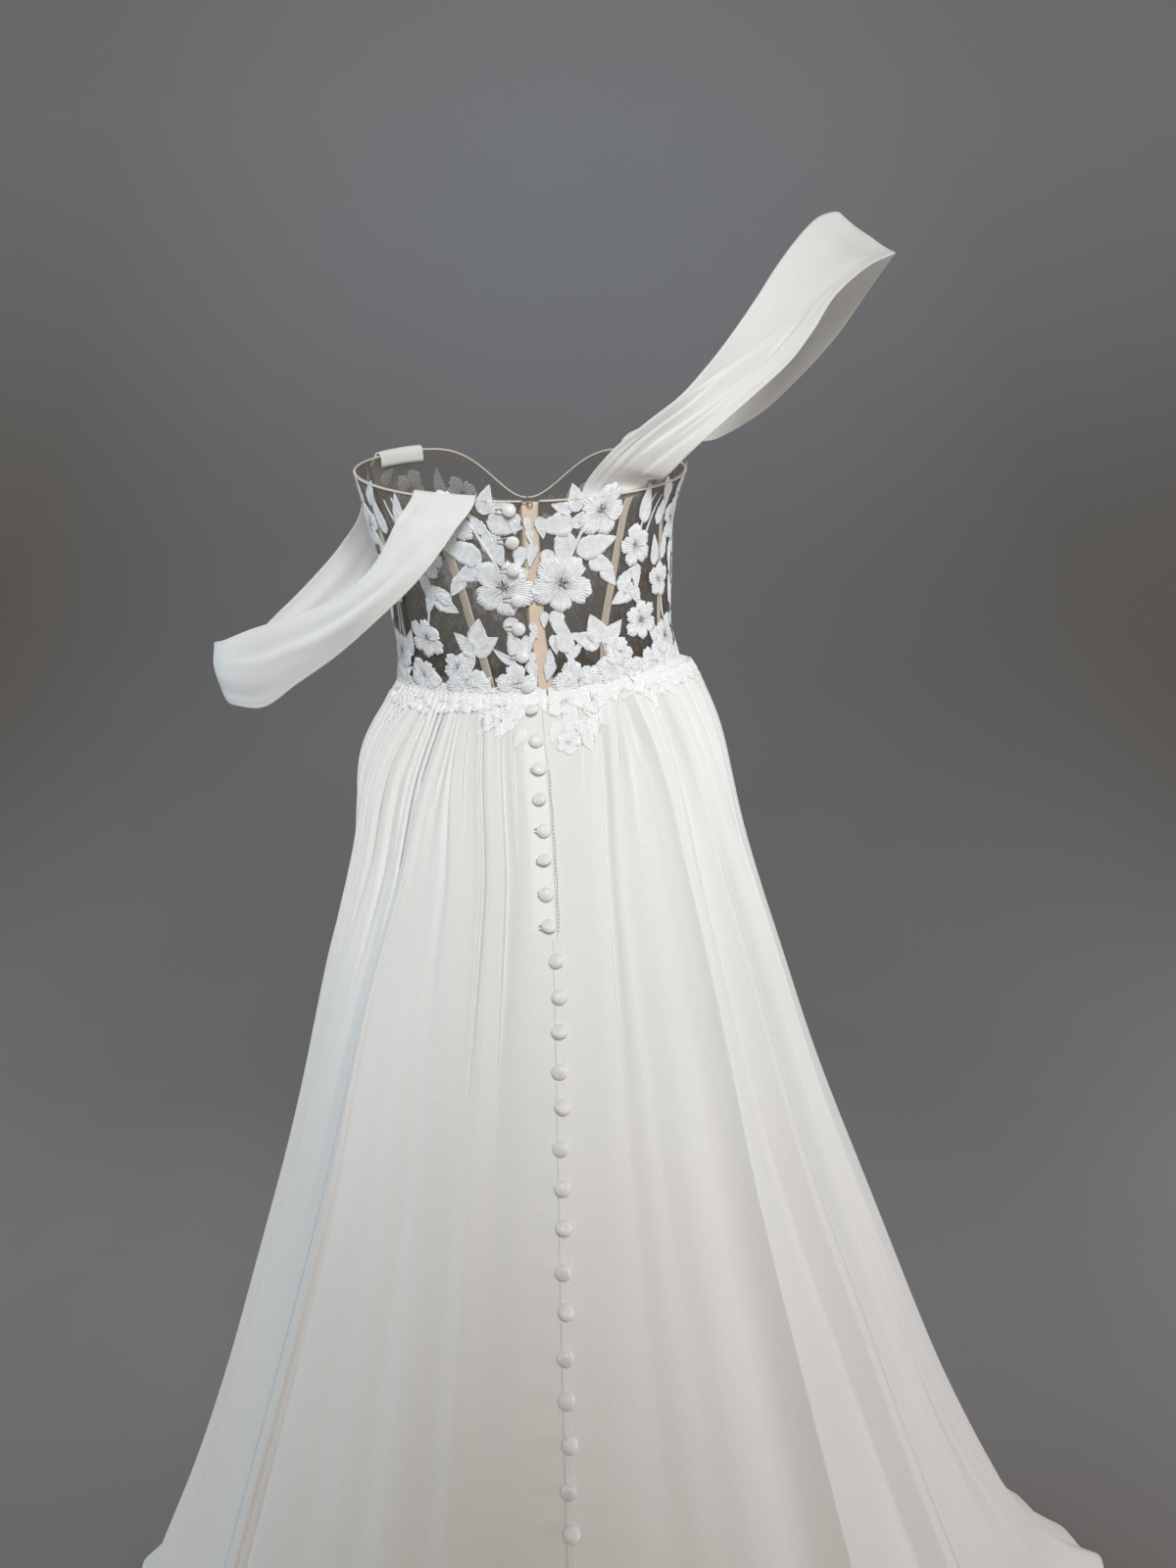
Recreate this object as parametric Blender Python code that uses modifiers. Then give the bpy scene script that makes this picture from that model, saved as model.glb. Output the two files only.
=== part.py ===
"""Wedding dress with a sheer corset bodice, two draped sleeves and a full skirt with a train.

The dress keeps the form that it has when it is worn.  The origin is the middle of the waist seam,
+Z is up, the back of the dress faces +Y and its left side faces +X.  Angles run round the dress
from the centre back (0) over the left side (90) to the centre front (180).  All sizes are in metres.
"""

import math

import bmesh
import bpy
import numpy as np
from mathutils import Vector

# ---------------------------------------------------------------- driving dimensions

SKIRT_WALL = 0.0015
BODICE_WALL = 0.0012
TRIM_WALL = 0.0010
SLEEVE_WALL = 0.0015
SEAM_GAP = 0.0003

WAIST_RISE_AT_SIDES = 0.0145
WAIST_TILT = 0.0095
FLOOR_LEVEL = -1.0480

TOP_EDGE_AT_BACK = 0.150
TOP_EDGE_RISE = 0.034
NECK_DIP = 0.050
NECK_DIP_ANGLE = 19.0
CUP_DEPTH = 0.020
CUP_RADIUS = 0.042
CUP_HEIGHT = 0.150
CUP_SPACING = 0.072
BACK_LINE_LEAN = -3.5

BINDING_DEPTH = 0.03
BINDING_END_GAP = 0.2
BONING_HALF_ANGLE = 1.7
BONING_SPAN = (0.03, 0.88)
BONING_PARTS = 3
PANEL_EDGES = (37.0, 108.0)
OPENING_ANGLE = -5.5
PLACKET_ANGLES = (-7.5, 2.0)

BUTTON_RADIUS = 0.0055
BUTTON_HEIGHT = 0.0062
BUTTON_SIDES = 8
BUTTON_SEAT_GAP = 0.0005
BUTTON_TILT = 14.0
# Turn in radians from one button to the next of their uneven lean, sideways and upwards
SIDEWAYS_TURN = 2.4
UPWARD_TURN = 3.7
BUTTON_PITCH = 0.0257
FIRST_SKIRT_BUTTON = 0.0165
SKIRT_BUTTONS = 23
BODICE_BUTTONS = 7
BODICE_BUTTON_ANGLE = 4.3
FIRST_BODICE_BUTTON = 0.95
BODICE_BUTTON_STEP = 0.15
STAND_BUTTON_SHIFT = 0.0065

STAND_EDGES = (-0.0005, 0.020)
STAND_SPAN = (0.042, 0.136)
ZIP_EDGES = (-0.0055, -0.0008)
TAPE_EDGES = (-0.0035, 0.0035)
TAPE_GAP = 0.001
TAPE_END = 0.995
BACK_LENGTH = 1.48

# The skirt is narrow at the waist and wide at the hem, which turns a gap in metres into degrees.
WAIST_RADIUS = 0.11
HEM_GAIN = 0.50

# Level sections of the skirt without its folds, from the waist seam to the hem.
# fraction of the length, middle y, back y, back z, left x, right x, side z, front y, front z
SKIRT_SECTIONS = (
    (0.00, 0.000, 0.092, 0.000, 0.126, -0.126, 0.000, -0.092, 0.000),
    (0.05, 0.010, 0.135, -0.061, 0.152, -0.147, -0.055, -0.108, -0.052),
    (0.12, 0.020, 0.194, -0.145, 0.160, -0.167, -0.135, -0.122, -0.125),
    (0.20, 0.030, 0.260, -0.244, 0.175, -0.194, -0.225, -0.138, -0.208),
    (0.30, 0.030, 0.334, -0.372, 0.198, -0.229, -0.340, -0.165, -0.312),
    (0.41, 0.020, 0.399, -0.521, 0.231, -0.276, -0.465, -0.200, -0.430),
    (0.53, 0.010, 0.459, -0.688, 0.270, -0.331, -0.600, -0.243, -0.555),
    (0.65, -0.010, 0.534, -0.849, 0.314, -0.390, -0.730, -0.290, -0.680),
    (0.76, -0.030, 0.637, -0.986, 0.358, -0.451, -0.845, -0.338, -0.800),
    (0.86, -0.060, 0.772, -1.047, 0.399, -0.511, -0.940, -0.385, -0.905),
    (0.93, -0.080, 0.876, -1.047, 0.435, -0.566, -1.000, -0.417, -0.978),
    (1.00, -0.100, 0.979, -1.047, 0.468, -0.619, -1.047, -0.445, -1.047),
)

# The skirt's folds and the lines of its grain, in the order of their place at the hem.
# angle at the waist, at the knee and at the hem, rise at the waist, knee and hem, half width at the hem
SKIRT_FOLDS = (
    (-165.0, -164.0, -164.0, 0.003, 0.012, 0.024, 6.0),
    (-150.0, -148.0, -147.0, 0.003, 0.010, 0.020, 5.5),
    (-133.0, -132.0, -131.0, 0.003, 0.014, 0.028, 6.0),
    (-117.0, -116.0, -115.0, 0.003, 0.010, 0.022, 5.0),
    (-88.0, -92.0, -99.0, 0.003, 0.012, 0.030, 6.0),
    (-74.0, -78.0, -84.0, 0.004, 0.014, 0.022, 5.0),
    (-58.5, -67.0, -71.0, 0.005, 0.014, 0.022, 4.5),
    (-48.0, -51.5, -59.0, 0.005, 0.012, 0.018, 4.0),
    (-40.5, -40.5, -42.0, 0.005, 0.012, 0.016, 4.0),
    (-28.5, -25.0, -28.0, 0.004, 0.002, 0.003, 4.0),
    (-20.5, -18.0, -19.0, 0.005, 0.004, 0.004, 3.5),
    (0.0, -5.7, -6.0, 0.000, 0.000, 0.000, 3.0),
    (20.5, 13.0, 14.0, 0.004, 0.003, 0.004, 4.0),
    (30.5, 24.0, 27.0, 0.005, 0.003, 0.004, 4.0),
    (33.5, 45.0, 56.0, 0.006, 0.014, 0.020, 4.5),
    (40.0, 54.5, 65.0, 0.000, -0.008, -0.010, 3.5),
    (46.0, 66.5, 74.0, 0.005, 0.016, 0.022, 4.5),
    (53.0, 79.0, 86.0, 0.004, 0.012, 0.020, 4.5),
    (75.0, 94.0, 100.0, 0.003, 0.012, 0.024, 5.0),
    (108.0, 114.0, 118.0, 0.003, 0.011, 0.022, 5.5),
    (130.0, 133.0, 134.0, 0.003, 0.013, 0.026, 6.0),
    (149.0, 150.0, 151.0, 0.003, 0.010, 0.020, 5.5),
    (166.0, 167.0, 168.0, 0.003, 0.012, 0.022, 5.5),
)
KNEE = 0.30
# The folds reach their height at the waist this far down, on the scale of log_depth.
GATHERS_END = 0.12
BACK_LINE = -6.0
# gore, and the angles at the hem between which it lies
SKIRT_GORES = (
    ("skirt_back_left", BACK_LINE, 61.0),
    ("skirt_side_left", 61.0, 109.0),
    ("skirt_front", 109.0, 253.0),
    ("skirt_side_right", 253.0, 294.5),
    ("skirt_back_right", 294.5, 360.0 + BACK_LINE),
)
SKIRT_ROWS = (0.0, 0.025, 0.06, 0.12, 0.20, 0.30, 0.41, 0.53, 0.65, 0.76, 0.86, 0.93, 1.0)
LARGEST_COLUMN_STEP = 6.0
LEAST_COLUMN_STEP = 1.2
# Columns across a fold, in half widths, for a fold that stands high at the hem and for a low one.
HIGH_FOLD = 0.009
HIGH_FOLD_COLUMNS = (-1.0, -0.5, 0.0, 0.5, 1.0)
LOW_FOLD_COLUMNS = (-0.7, 0.0, 0.7)

# Sections of the bodice, from the waist to above the cups.
# height, middle x, half width, depth at the back, depth at the front
BODICE_SECTIONS = (
    (-0.015, 0.000, 0.1255, 0.0920, 0.0920),
    (0.005, 0.001, 0.1250, 0.0922, 0.0915),
    (0.030, 0.005, 0.1205, 0.0928, 0.0910),
    (0.050, 0.0090, 0.1190, 0.0940, 0.0930),
    (0.083, 0.0125, 0.1212, 0.0975, 0.1010),
    (0.118, 0.0170, 0.1262, 0.1020, 0.1120),
    (0.150, 0.0200, 0.1310, 0.1060, 0.1200),
    (0.184, 0.0190, 0.1405, 0.1090, 0.1190),
    (0.225, 0.0180, 0.1460, 0.1110, 0.1140),
)
BODICE_ROWS = (0.0, 0.22, 0.45, 0.68, 0.88, 0.97, 1.0)
BODICE_STEP = 9.0
CUP_MIDDLES = (150.0, 210.0)
# Boning channels: side, number, angle at the waist seam and at the top edge
BONING = (
    ("left", 1, 17.5, 32.5),
    ("left", 2, 64.0, 64.0),
    ("left", 3, 108.0, 108.0),
    ("right", 1, 335.0, 319.0),
    ("right", 2, 296.0, 296.0),
    ("right", 3, 252.0, 252.0),
)

# Lace over the waist seam: the name, the angles at the hem that it spans, and its tips
# (angle, reach below the edge of the band, half width).
LACE_BAND = 0.018
LACE_START = 0.002
LACE_ROWS = (0.0, 0.5, 1.0)
LACE_CLEARANCE = 0.0009
WAIST_LACE = (
    ("lace_waist_back_left", -5.0, 44.0, ((6.0, 0.030, 7.0), (33.0, 0.008, 6.0))),
    ("lace_waist_side_left", 44.5, 112.0, ((64.0, 0.016, 7.0), (92.0, 0.014, 8.0))),
    ("lace_waist_front", 112.5, 247.5, ((140.0, 0.016, 9.0), (180.0, 0.036, 12.0), (220.0, 0.016, 9.0))),
    ("lace_waist_side_right", 248.0, 308.0, ((268.0, 0.014, 8.0), (294.0, 0.012, 7.0))),
    ("lace_waist_back_right", 308.5, 353.0, ((327.0, 0.010, 5.0), (345.0, 0.036, 7.0))),
)

# Sleeves, from the back edge of the bodice round the arm to its front edge.
# inner edge x, y, z, outer edge x, y, z, crown between the edges
LEFT_SLEEVE = (
    (0.109, 0.1065, 0.1340, 0.062, 0.1190, 0.1280, 0.002),
    (0.127, 0.1040, 0.1030, 0.090, 0.1170, 0.0920, 0.005),
    (0.154, 0.0930, 0.0800, 0.125, 0.1080, 0.0600, 0.006),
    (0.184, 0.0780, 0.0670, 0.163, 0.0880, 0.0300, 0.006),
    (0.212, 0.0650, 0.0580, 0.200, 0.0700, 0.0060, 0.006),
    (0.240, 0.0530, 0.0500, 0.231, 0.0550, -0.0140, 0.006),
    (0.267, 0.0350, 0.0405, 0.261, 0.0360, -0.0145, 0.005),
    (0.283, 0.0120, 0.0368, 0.276, 0.0120, -0.0115, 0.004),
    (0.288, -0.0120, 0.0320, 0.282, -0.0120, -0.0070, 0.004),
    (0.272, -0.0380, 0.0350, 0.264, -0.0350, -0.0050, 0.004),
    (0.242, -0.0590, 0.0640, 0.228, -0.0560, 0.0130, 0.005),
    (0.216, -0.0730, 0.0920, 0.193, -0.0770, 0.0420, 0.006),
    (0.192, -0.0830, 0.1210, 0.160, -0.0960, 0.0780, 0.006),
    (0.174, -0.0830, 0.1460, 0.142, -0.1130, 0.1180, 0.005),
    (0.165, -0.0740, 0.1740, 0.131, -0.1180, 0.1620, 0.003),
)
RIGHT_SLEEVE = (
    (-0.053, 0.1080, 0.1830, -0.098, 0.0860, 0.1690, 0.002),
    (-0.081, 0.1120, 0.2060, -0.114, 0.0960, 0.1840, 0.004),
    (-0.107, 0.1090, 0.2260, -0.135, 0.1000, 0.2030, 0.005),
    (-0.129, 0.1000, 0.2500, -0.165, 0.0960, 0.2290, 0.006),
    (-0.148, 0.0910, 0.2750, -0.193, 0.0900, 0.2550, 0.006),
    (-0.166, 0.0800, 0.3010, -0.212, 0.0820, 0.2800, 0.006),
    (-0.184, 0.0660, 0.3290, -0.228, 0.0700, 0.3050, 0.006),
    (-0.209, 0.0440, 0.3620, -0.258, 0.0500, 0.3330, 0.005),
    (-0.227, 0.0200, 0.3795, -0.280, 0.0200, 0.3475, 0.004),
    (-0.245, -0.0060, 0.3880, -0.293, -0.0060, 0.3560, 0.001),
    (-0.230, -0.0380, 0.3750, -0.280, -0.0340, 0.3360, 0.005),
    (-0.208, -0.0640, 0.3430, -0.256, -0.0560, 0.3000, 0.006),
    (-0.181, -0.0820, 0.3040, -0.228, -0.0740, 0.2690, 0.006),
    (-0.150, -0.0930, 0.2670, -0.196, -0.0840, 0.2400, 0.006),
    (-0.116, -0.0990, 0.2400, -0.158, -0.0820, 0.2180, 0.004),
)
# name, table, angles of the inner and outer edge where the back end and the front end are sewn in,
# and whether the ends fold over the top edge
SLEEVES = (
    ("sleeve_left", LEFT_SLEEVE, (38.0, 15.5), (116.0, 138.0), True),
    ("sleeve_right", RIGHT_SLEEVE, (-21.0, -49.0), (-142.0, -117.0), False),
)
SLEEVE_COLUMNS = 4
SLEEVE_STEP = 0.024
SEWN_SHARE = 0.95
EDGE_CLEARANCE = 0.0009

COLLECTION = "wedding_dress"

# Small steps that give the direction of a surface: in degrees, as a share of the skirt's length and as a
# share of the bodice's height.
ANGLE_STEP = 0.5
FRACTION_STEP = 0.004
SHARE_STEP = 0.01
# The skirt faces a little upwards everywhere, which tells its outside from its inside.
UPWARD_FACING = 0.7
# How quickly log_depth starts.
DEPTH_SCALE = 8.0

# slot: colour, roughness, metallic
MATERIALS = {
    "crepe": ((0.86, 0.84, 0.80, 1.0), 0.62, 0.0),
    "lace": ((0.80, 0.81, 0.83, 1.0), 0.70, 0.0),
    "nude_satin": ((0.66, 0.52, 0.42, 1.0), 0.45, 0.0),
    "button_satin": ((0.82, 0.80, 0.76, 1.0), 0.38, 0.0),
    "zip_tape": ((0.78, 0.77, 0.74, 1.0), 0.45, 0.0),
}


# ---------------------------------------------------------------- curves through table rows

def column(table, index):
    """One named column of a table as an array."""
    return np.array([row[index] for row in table])


def smooth(places, knots, values):
    """A smooth curve through the values at the knots, read at the places."""
    knots = np.asarray(knots, float)
    values = np.asarray(values, float)
    slopes = np.gradient(values, knots)
    steps = np.diff(values) / np.diff(knots)
    flat = np.zeros(len(knots), bool)
    flat[1:-1] = steps[:-1] * steps[1:] <= 0.0
    slopes[flat] = 0.0
    places = np.clip(places, knots[0], knots[-1])
    index = np.clip(np.searchsorted(knots, places, side="right") - 1, 0, len(knots) - 2)
    width = knots[index + 1] - knots[index]
    t = (places - knots[index]) / width
    return (values[index] * (2 * t**3 - 3 * t**2 + 1) + values[index + 1] * (3 * t**2 - 2 * t**3)
            + width * slopes[index] * (t**3 - 2 * t**2 + t) + width * slopes[index + 1] * (t**3 - t**2))


def log_depth(fraction):
    """Depth down the skirt, 0 to 1, on a scale that is finer near the waist."""
    return np.log1p(DEPTH_SCALE * np.asarray(fraction, float)) / math.log1p(DEPTH_SCALE)


def waist_height(angle):
    """Height of the waist seam: it dips at the centre back and rises to the right side."""
    turn = np.radians(angle)
    return WAIST_RISE_AT_SIDES * np.sin(turn)**2 - WAIST_TILT * np.sin(turn)


# ---------------------------------------------------------------- skirt surface

def fold_place(hem_angle, fraction):
    """Angle round the dress of the grain line that meets the hem at hem_angle."""
    waist = column(SKIRT_FOLDS, 0)
    knee = column(SKIRT_FOLDS, 1)
    hem = column(SKIRT_FOLDS, 2)
    around = (np.asarray(hem_angle, float) + 180.0) % 360.0 - 180.0
    hem_ring = np.concatenate([hem[-1:] - 360.0, hem, hem[:1] + 360.0])
    waist_ring = np.concatenate([waist[-1:] - 360.0, waist, waist[:1] + 360.0])
    knee_ring = np.concatenate([knee[-1:] - 360.0, knee, knee[:1] + 360.0])
    at_waist = np.interp(around, hem_ring, waist_ring)
    at_knee = np.interp(around, hem_ring, knee_ring)
    depth = log_depth(fraction)
    knee_depth = log_depth(KNEE)
    bend = (at_knee - at_waist - knee_depth * (around - at_waist)) / (knee_depth * (knee_depth - 1.0))
    return at_waist + depth * (around - at_waist) + bend * depth * (depth - 1.0)


def skirt_envelope(angle, fraction):
    """Point of the skirt without folds."""
    places = column(SKIRT_SECTIONS, 0)
    middle_y, back_y, back_z, left_x, right_x, side_z, front_y, front_z = (
        smooth(fraction, places, column(SKIRT_SECTIONS, index)) for index in range(1, 9))
    across = np.sin(np.radians(angle))
    along = np.cos(np.radians(angle))
    x = np.where(across >= 0, left_x * across, -right_x * across)
    y = middle_y + np.where(along >= 0, (back_y - middle_y) * along, (middle_y - front_y) * along)
    z = side_z * across**2 + np.where(along >= 0, back_z, front_z) * along**2
    z = z + waist_height(angle) * (1.0 - fraction)
    return np.stack([x, y, z], axis=-1)


def fold_rise(hem_angle, fraction):
    """How far the folds stand out of the skirt's plain form."""
    depth = log_depth(fraction)
    knots = (0.0, GATHERS_END, log_depth(KNEE), 1.0)
    rise = np.zeros(np.broadcast(hem_angle, fraction).shape)
    for _, _, hem, at_waist, at_knee, at_hem, half_width in SKIRT_FOLDS:
        height = np.interp(depth, knots, (0.0, at_waist, at_knee, at_hem))
        distance = (np.asarray(hem_angle) - hem + 180.0) % 360.0 - 180.0
        shape = np.cos(np.clip(distance / half_width, -1.0, 1.0) * math.pi / 2.0)**2
        rise = rise + height * shape
    return rise


def skirt_point(hem_angle, fraction):
    """Point and outward direction of the folded skirt."""
    hem_angle, fraction = np.broadcast_arrays(np.asarray(hem_angle, float), np.asarray(fraction, float))
    angle = fold_place(hem_angle, fraction)
    around = skirt_envelope(angle + ANGLE_STEP, fraction) - skirt_envelope(angle - ANGLE_STEP, fraction)
    low = np.minimum(fraction + FRACTION_STEP, 1.0)
    high = np.maximum(fraction - FRACTION_STEP, 0.0)
    down = skirt_envelope(angle, low) - skirt_envelope(angle, high)
    outward = np.cross(around, down)
    outward = -outward / np.linalg.norm(outward, axis=-1, keepdims=True)
    turn = np.radians(angle)
    facing = np.stack([np.sin(turn), np.cos(turn), np.full(angle.shape, UPWARD_FACING)], axis=-1)
    outward = outward * np.sign(np.sum(outward * facing, axis=-1, keepdims=True))
    point = skirt_envelope(angle, fraction) + outward * fold_rise(hem_angle, fraction)[..., None]
    point[..., 2] = np.maximum(point[..., 2], FLOOR_LEVEL)
    return point, outward


# ---------------------------------------------------------------- bodice surface

def top_edge(angle):
    """Height of the bodice's top edge: low at the back, with a sweetheart neck at the front."""
    turn = np.radians(angle)
    from_front = 180.0 - np.abs((np.asarray(angle, float) + 180.0) % 360.0 - 180.0)
    dip = NECK_DIP * np.exp(-(from_front / NECK_DIP_ANGLE)**2)
    return TOP_EDGE_AT_BACK + TOP_EDGE_RISE * (1.0 - np.cos(turn)) - dip


def bodice_shape(angle, share):
    """Point of the bodice; share is 0 at the waist seam and 1 at the top edge."""
    angle = angle + BACK_LINE_LEAN * share * np.cos(np.radians(angle) / 2.0)**2
    low = waist_height(angle) + SEAM_GAP + BODICE_WALL / 2.0
    height = low + (top_edge(angle) - low) * share
    places = column(BODICE_SECTIONS, 0)
    middle_x, half_width, back_depth, front_depth = (
        smooth(height, places, column(BODICE_SECTIONS, index)) for index in range(1, 5))
    across = np.sin(np.radians(angle))
    along = np.cos(np.radians(angle))
    x = middle_x + half_width * across
    y = np.where(along >= 0, back_depth, front_depth) * along
    from_cup = (np.abs(x - middle_x) - CUP_SPACING)**2 + (height - CUP_HEIGHT)**2
    cup = CUP_DEPTH * np.exp(-from_cup / (2.0 * CUP_RADIUS**2))
    y = y - np.where(along < 0, cup * -along, 0.0)
    return np.stack([x, y, height], axis=-1)


def bodice_point(angle, share):
    """Point and outward direction of the bodice."""
    angle, share = np.broadcast_arrays(np.asarray(angle, float), np.asarray(share, float))
    around = bodice_shape(angle + ANGLE_STEP, share) - bodice_shape(angle - ANGLE_STEP, share)
    up = bodice_shape(angle, share + SHARE_STEP) - bodice_shape(angle, share - SHARE_STEP)
    outward = np.cross(up, around)
    outward = outward / np.linalg.norm(outward, axis=-1, keepdims=True)
    return bodice_shape(angle, share), outward


# ---------------------------------------------------------------- faceted grids

class Grid:
    """A surface held at its columns and rows; all cloth and trim is read from its flat facets."""

    def __init__(self, surface, columns, rows):
        self.columns = np.array(columns)
        self.rows = np.array(rows)
        self.ring = np.concatenate([self.columns, self.columns[:1] + 360.0])
        angles, places = np.meshgrid(self.ring, self.rows)
        self.points, self.outward = surface(angles, places)

    def read(self, angle, place, lift):
        """The point of the facets at an angle and a place, moved out by lift."""
        angle = self.ring[0] + (angle - self.ring[0]) % 360.0
        across = np.clip(np.searchsorted(self.ring, angle, side="right") - 1, 0, len(self.ring) - 2)
        down = np.clip(np.searchsorted(self.rows, place, side="right") - 1, 0, len(self.rows) - 2)
        u = (angle - self.ring[across]) / (self.ring[across + 1] - self.ring[across])
        v = (place - self.rows[down]) / (self.rows[down + 1] - self.rows[down])
        upper_left = self.points[down, across] + self.outward[down, across] * lift
        upper_right = self.points[down, across + 1] + self.outward[down, across + 1] * lift
        lower_left = self.points[down + 1, across] + self.outward[down + 1, across] * lift
        lower_right = self.points[down + 1, across + 1] + self.outward[down + 1, across + 1] * lift
        if v >= u:
            return upper_left * (1.0 - v) + lower_left * (v - u) + lower_right * u
        return upper_left * (1.0 - u) + lower_right * v + upper_right * (u - v)

    def seam_near(self, angle):
        """The middle of the facets that hold an angle, so that both sides of a seam there are flat."""
        if angle in (BACK_LINE, 360.0 + BACK_LINE):
            return angle
        turned = self.ring[0] + (angle - self.ring[0]) % 360.0
        index = int(np.searchsorted(self.ring, turned, side="right")) - 1
        return (self.ring[index] + self.ring[index + 1]) / 2.0 + angle - turned

    def between(self, first, last):
        """The grid's own columns that lie strictly between two angles."""
        turns = [angle + turn for angle in self.columns for turn in (-360.0, 0.0, 360.0)]
        margin = 0.25
        return sorted(angle for angle in turns if first + margin < angle < last - margin)


def filled(angles, largest_step):
    """Angles round the whole ring, with more put in where two are far apart."""
    angles = sorted(set(round(angle % 360.0, 3) for angle in angles))
    result = []
    for first, last in zip(angles, angles[1:] + [angles[0] + 360.0]):
        parts = max(1, math.ceil((last - first) / largest_step - 0.001))
        result += [first + (last - first) * part / parts for part in range(parts)]
    return result


def skirt_columns():
    """A column on each fold's crest and flanks, thinned where two folds meet."""
    wanted = []
    for _, _, hem, _, _, at_hem, half_width in SKIRT_FOLDS:
        steps = HIGH_FOLD_COLUMNS if abs(at_hem) > HIGH_FOLD else LOW_FOLD_COLUMNS
        wanted += [(hem + half_width * step) % 360.0 for step in steps]
    kept = []
    for angle in sorted(wanted):
        if not kept or angle - kept[-1] > LEAST_COLUMN_STEP:
            kept.append(angle)
    return filled(kept, LARGEST_COLUMN_STEP)


def bodice_columns():
    """A column at the panels' seams, the cups, and each edge of the upright channels and of the opening."""
    wanted = [0.0, 180.0, OPENING_ANGLE, *PLACKET_ANGLES, *CUP_MIDDLES]
    for edge in PANEL_EDGES:
        wanted += [edge - BONING_HALF_ANGLE, edge + BONING_HALF_ANGLE]
        wanted += [-edge - BONING_HALF_ANGLE, -edge + BONING_HALF_ANGLE]
    for _, _, low, high in BONING:
        if low == high:
            wanted += [low - BONING_HALF_ANGLE, low + BONING_HALF_ANGLE]
    return filled(wanted, BODICE_STEP)


# ---------------------------------------------------------------- objects

def make_material(slot):
    """The material of a slot."""
    colour, roughness, metallic = MATERIALS[slot]
    material = bpy.data.materials.get(slot) or bpy.data.materials.new(slot)
    material.use_nodes = True
    shader = material.node_tree.nodes["Principled BSDF"]
    shader.inputs["Base Color"].default_value = colour
    shader.inputs["Roughness"].default_value = roughness
    shader.inputs["Metallic"].default_value = metallic
    material.diffuse_color = colour
    return material


def add_object(name, mesh, slot):
    """Link a mesh object into the dress's collection."""
    mesh.materials.append(make_material(slot))
    thing = bpy.data.objects.new(name, mesh)
    bpy.data.collections[COLLECTION].objects.link(thing)
    return thing


def add_cloth(name, rows, slot, wall):
    """A cloth wall: a loft through rows of points, thickened to both sides."""
    shape = bmesh.new()
    corners = [[shape.verts.new(point) for point in row] for row in rows]
    for upper, lower in zip(corners, corners[1:]):
        for index in range(len(upper) - 1):
            shape.faces.new((upper[index], lower[index], lower[index + 1]))
            shape.faces.new((upper[index], lower[index + 1], upper[index + 1]))
    mesh = bpy.data.meshes.new(name)
    shape.to_mesh(mesh)
    shape.free()
    mesh.shade_smooth()
    thing = add_object(name, mesh, slot)
    thicken = thing.modifiers.new("wall", "SOLIDIFY")
    thicken.thickness = wall
    thicken.offset = 0.0
    thicken.use_rim = True
    return thing


def make_skirt(skirt):
    """Five gores, each a wall between two seams."""
    for name, first, last in SKIRT_GORES:
        first = skirt.seam_near(first)
        last = skirt.seam_near(last)
        inner = skirt.between(first, last)
        rows = []
        for fraction in SKIRT_ROWS:
            slit = math.degrees(SEAM_GAP / 2.0 / (WAIST_RADIUS + HEM_GAIN * fraction))
            angles = [first + slit] + inner + [last - slit]
            rows.append([skirt.read(angle, fraction, 0.0) for angle in angles])
        add_cloth(name, rows, "crepe", SKIRT_WALL)


def make_bodice(bodice):
    """Six lace panels: back, side and front on each side."""
    back_edge, side_edge = PANEL_EDGES
    panels = (
        ("bodice_back_left", 0.0, back_edge),
        ("bodice_side_left", back_edge, side_edge),
        ("bodice_front_left", side_edge, 180.0),
        ("bodice_front_right", 180.0, 360.0 - side_edge),
        ("bodice_side_right", 360.0 - side_edge, 360.0 - back_edge),
        ("bodice_back_right", 360.0 - back_edge, 360.0 + OPENING_ANGLE),
    )
    slit = math.degrees(SEAM_GAP / 2.0 / WAIST_RADIUS)
    for name, first, last in panels:
        angles = [first + slit] + bodice.between(first, last) + [last - slit]
        rows = [[bodice.read(angle, share, 0.0) for angle in angles] for share in BODICE_ROWS]
        add_cloth(name, rows, "lace", BODICE_WALL)


def make_bindings(bodice):
    """Binding along the top edge, one strip on each side of the opening."""
    lift = BODICE_WALL / 2.0 + SEAM_GAP + TRIM_WALL / 2.0
    middle = 180.0
    strips = (
        ("top_binding_left", BINDING_END_GAP, middle - BINDING_END_GAP),
        ("top_binding_right", middle + BINDING_END_GAP, 360.0 + OPENING_ANGLE - BINDING_END_GAP),
    )
    for name, first, last in strips:
        angles = [first] + bodice.between(first, last) + [last]
        rows = [[bodice.read(angle, share, lift) for angle in angles] for share in (1.0 - BINDING_DEPTH, 1.0)]
        add_cloth(name, rows, "nude_satin", TRIM_WALL)


def split(places, parts):
    """The same places with each stretch between two of them cut into equal parts."""
    finer = [first + (last - first) * part / parts
             for first, last in zip(places, places[1:]) for part in range(parts)]
    return finer + [places[-1]]


def make_boning(bodice):
    """Boning channels inside the panels; the first on each side leans outwards to its top."""
    lift = -(BODICE_WALL / 2.0 + SEAM_GAP + TRIM_WALL / 2.0)
    low_end, high_end = BONING_SPAN
    for side, number, low_angle, high_angle in BONING:
        rows_between = [share for share in BODICE_ROWS if low_end < share < high_end]
        shares = [low_end] + rows_between + [high_end]
        if low_angle != high_angle:
            shares = split(shares, BONING_PARTS)
        rows = []
        for share in shares:
            middle = low_angle + (high_angle - low_angle) * share
            edges = (middle - BONING_HALF_ANGLE, middle + BONING_HALF_ANGLE)
            rows.append([bodice.read(edge, share, lift) for edge in edges])
        add_cloth("boning_%s_%d" % (side, number), rows, "nude_satin", TRIM_WALL)


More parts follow.
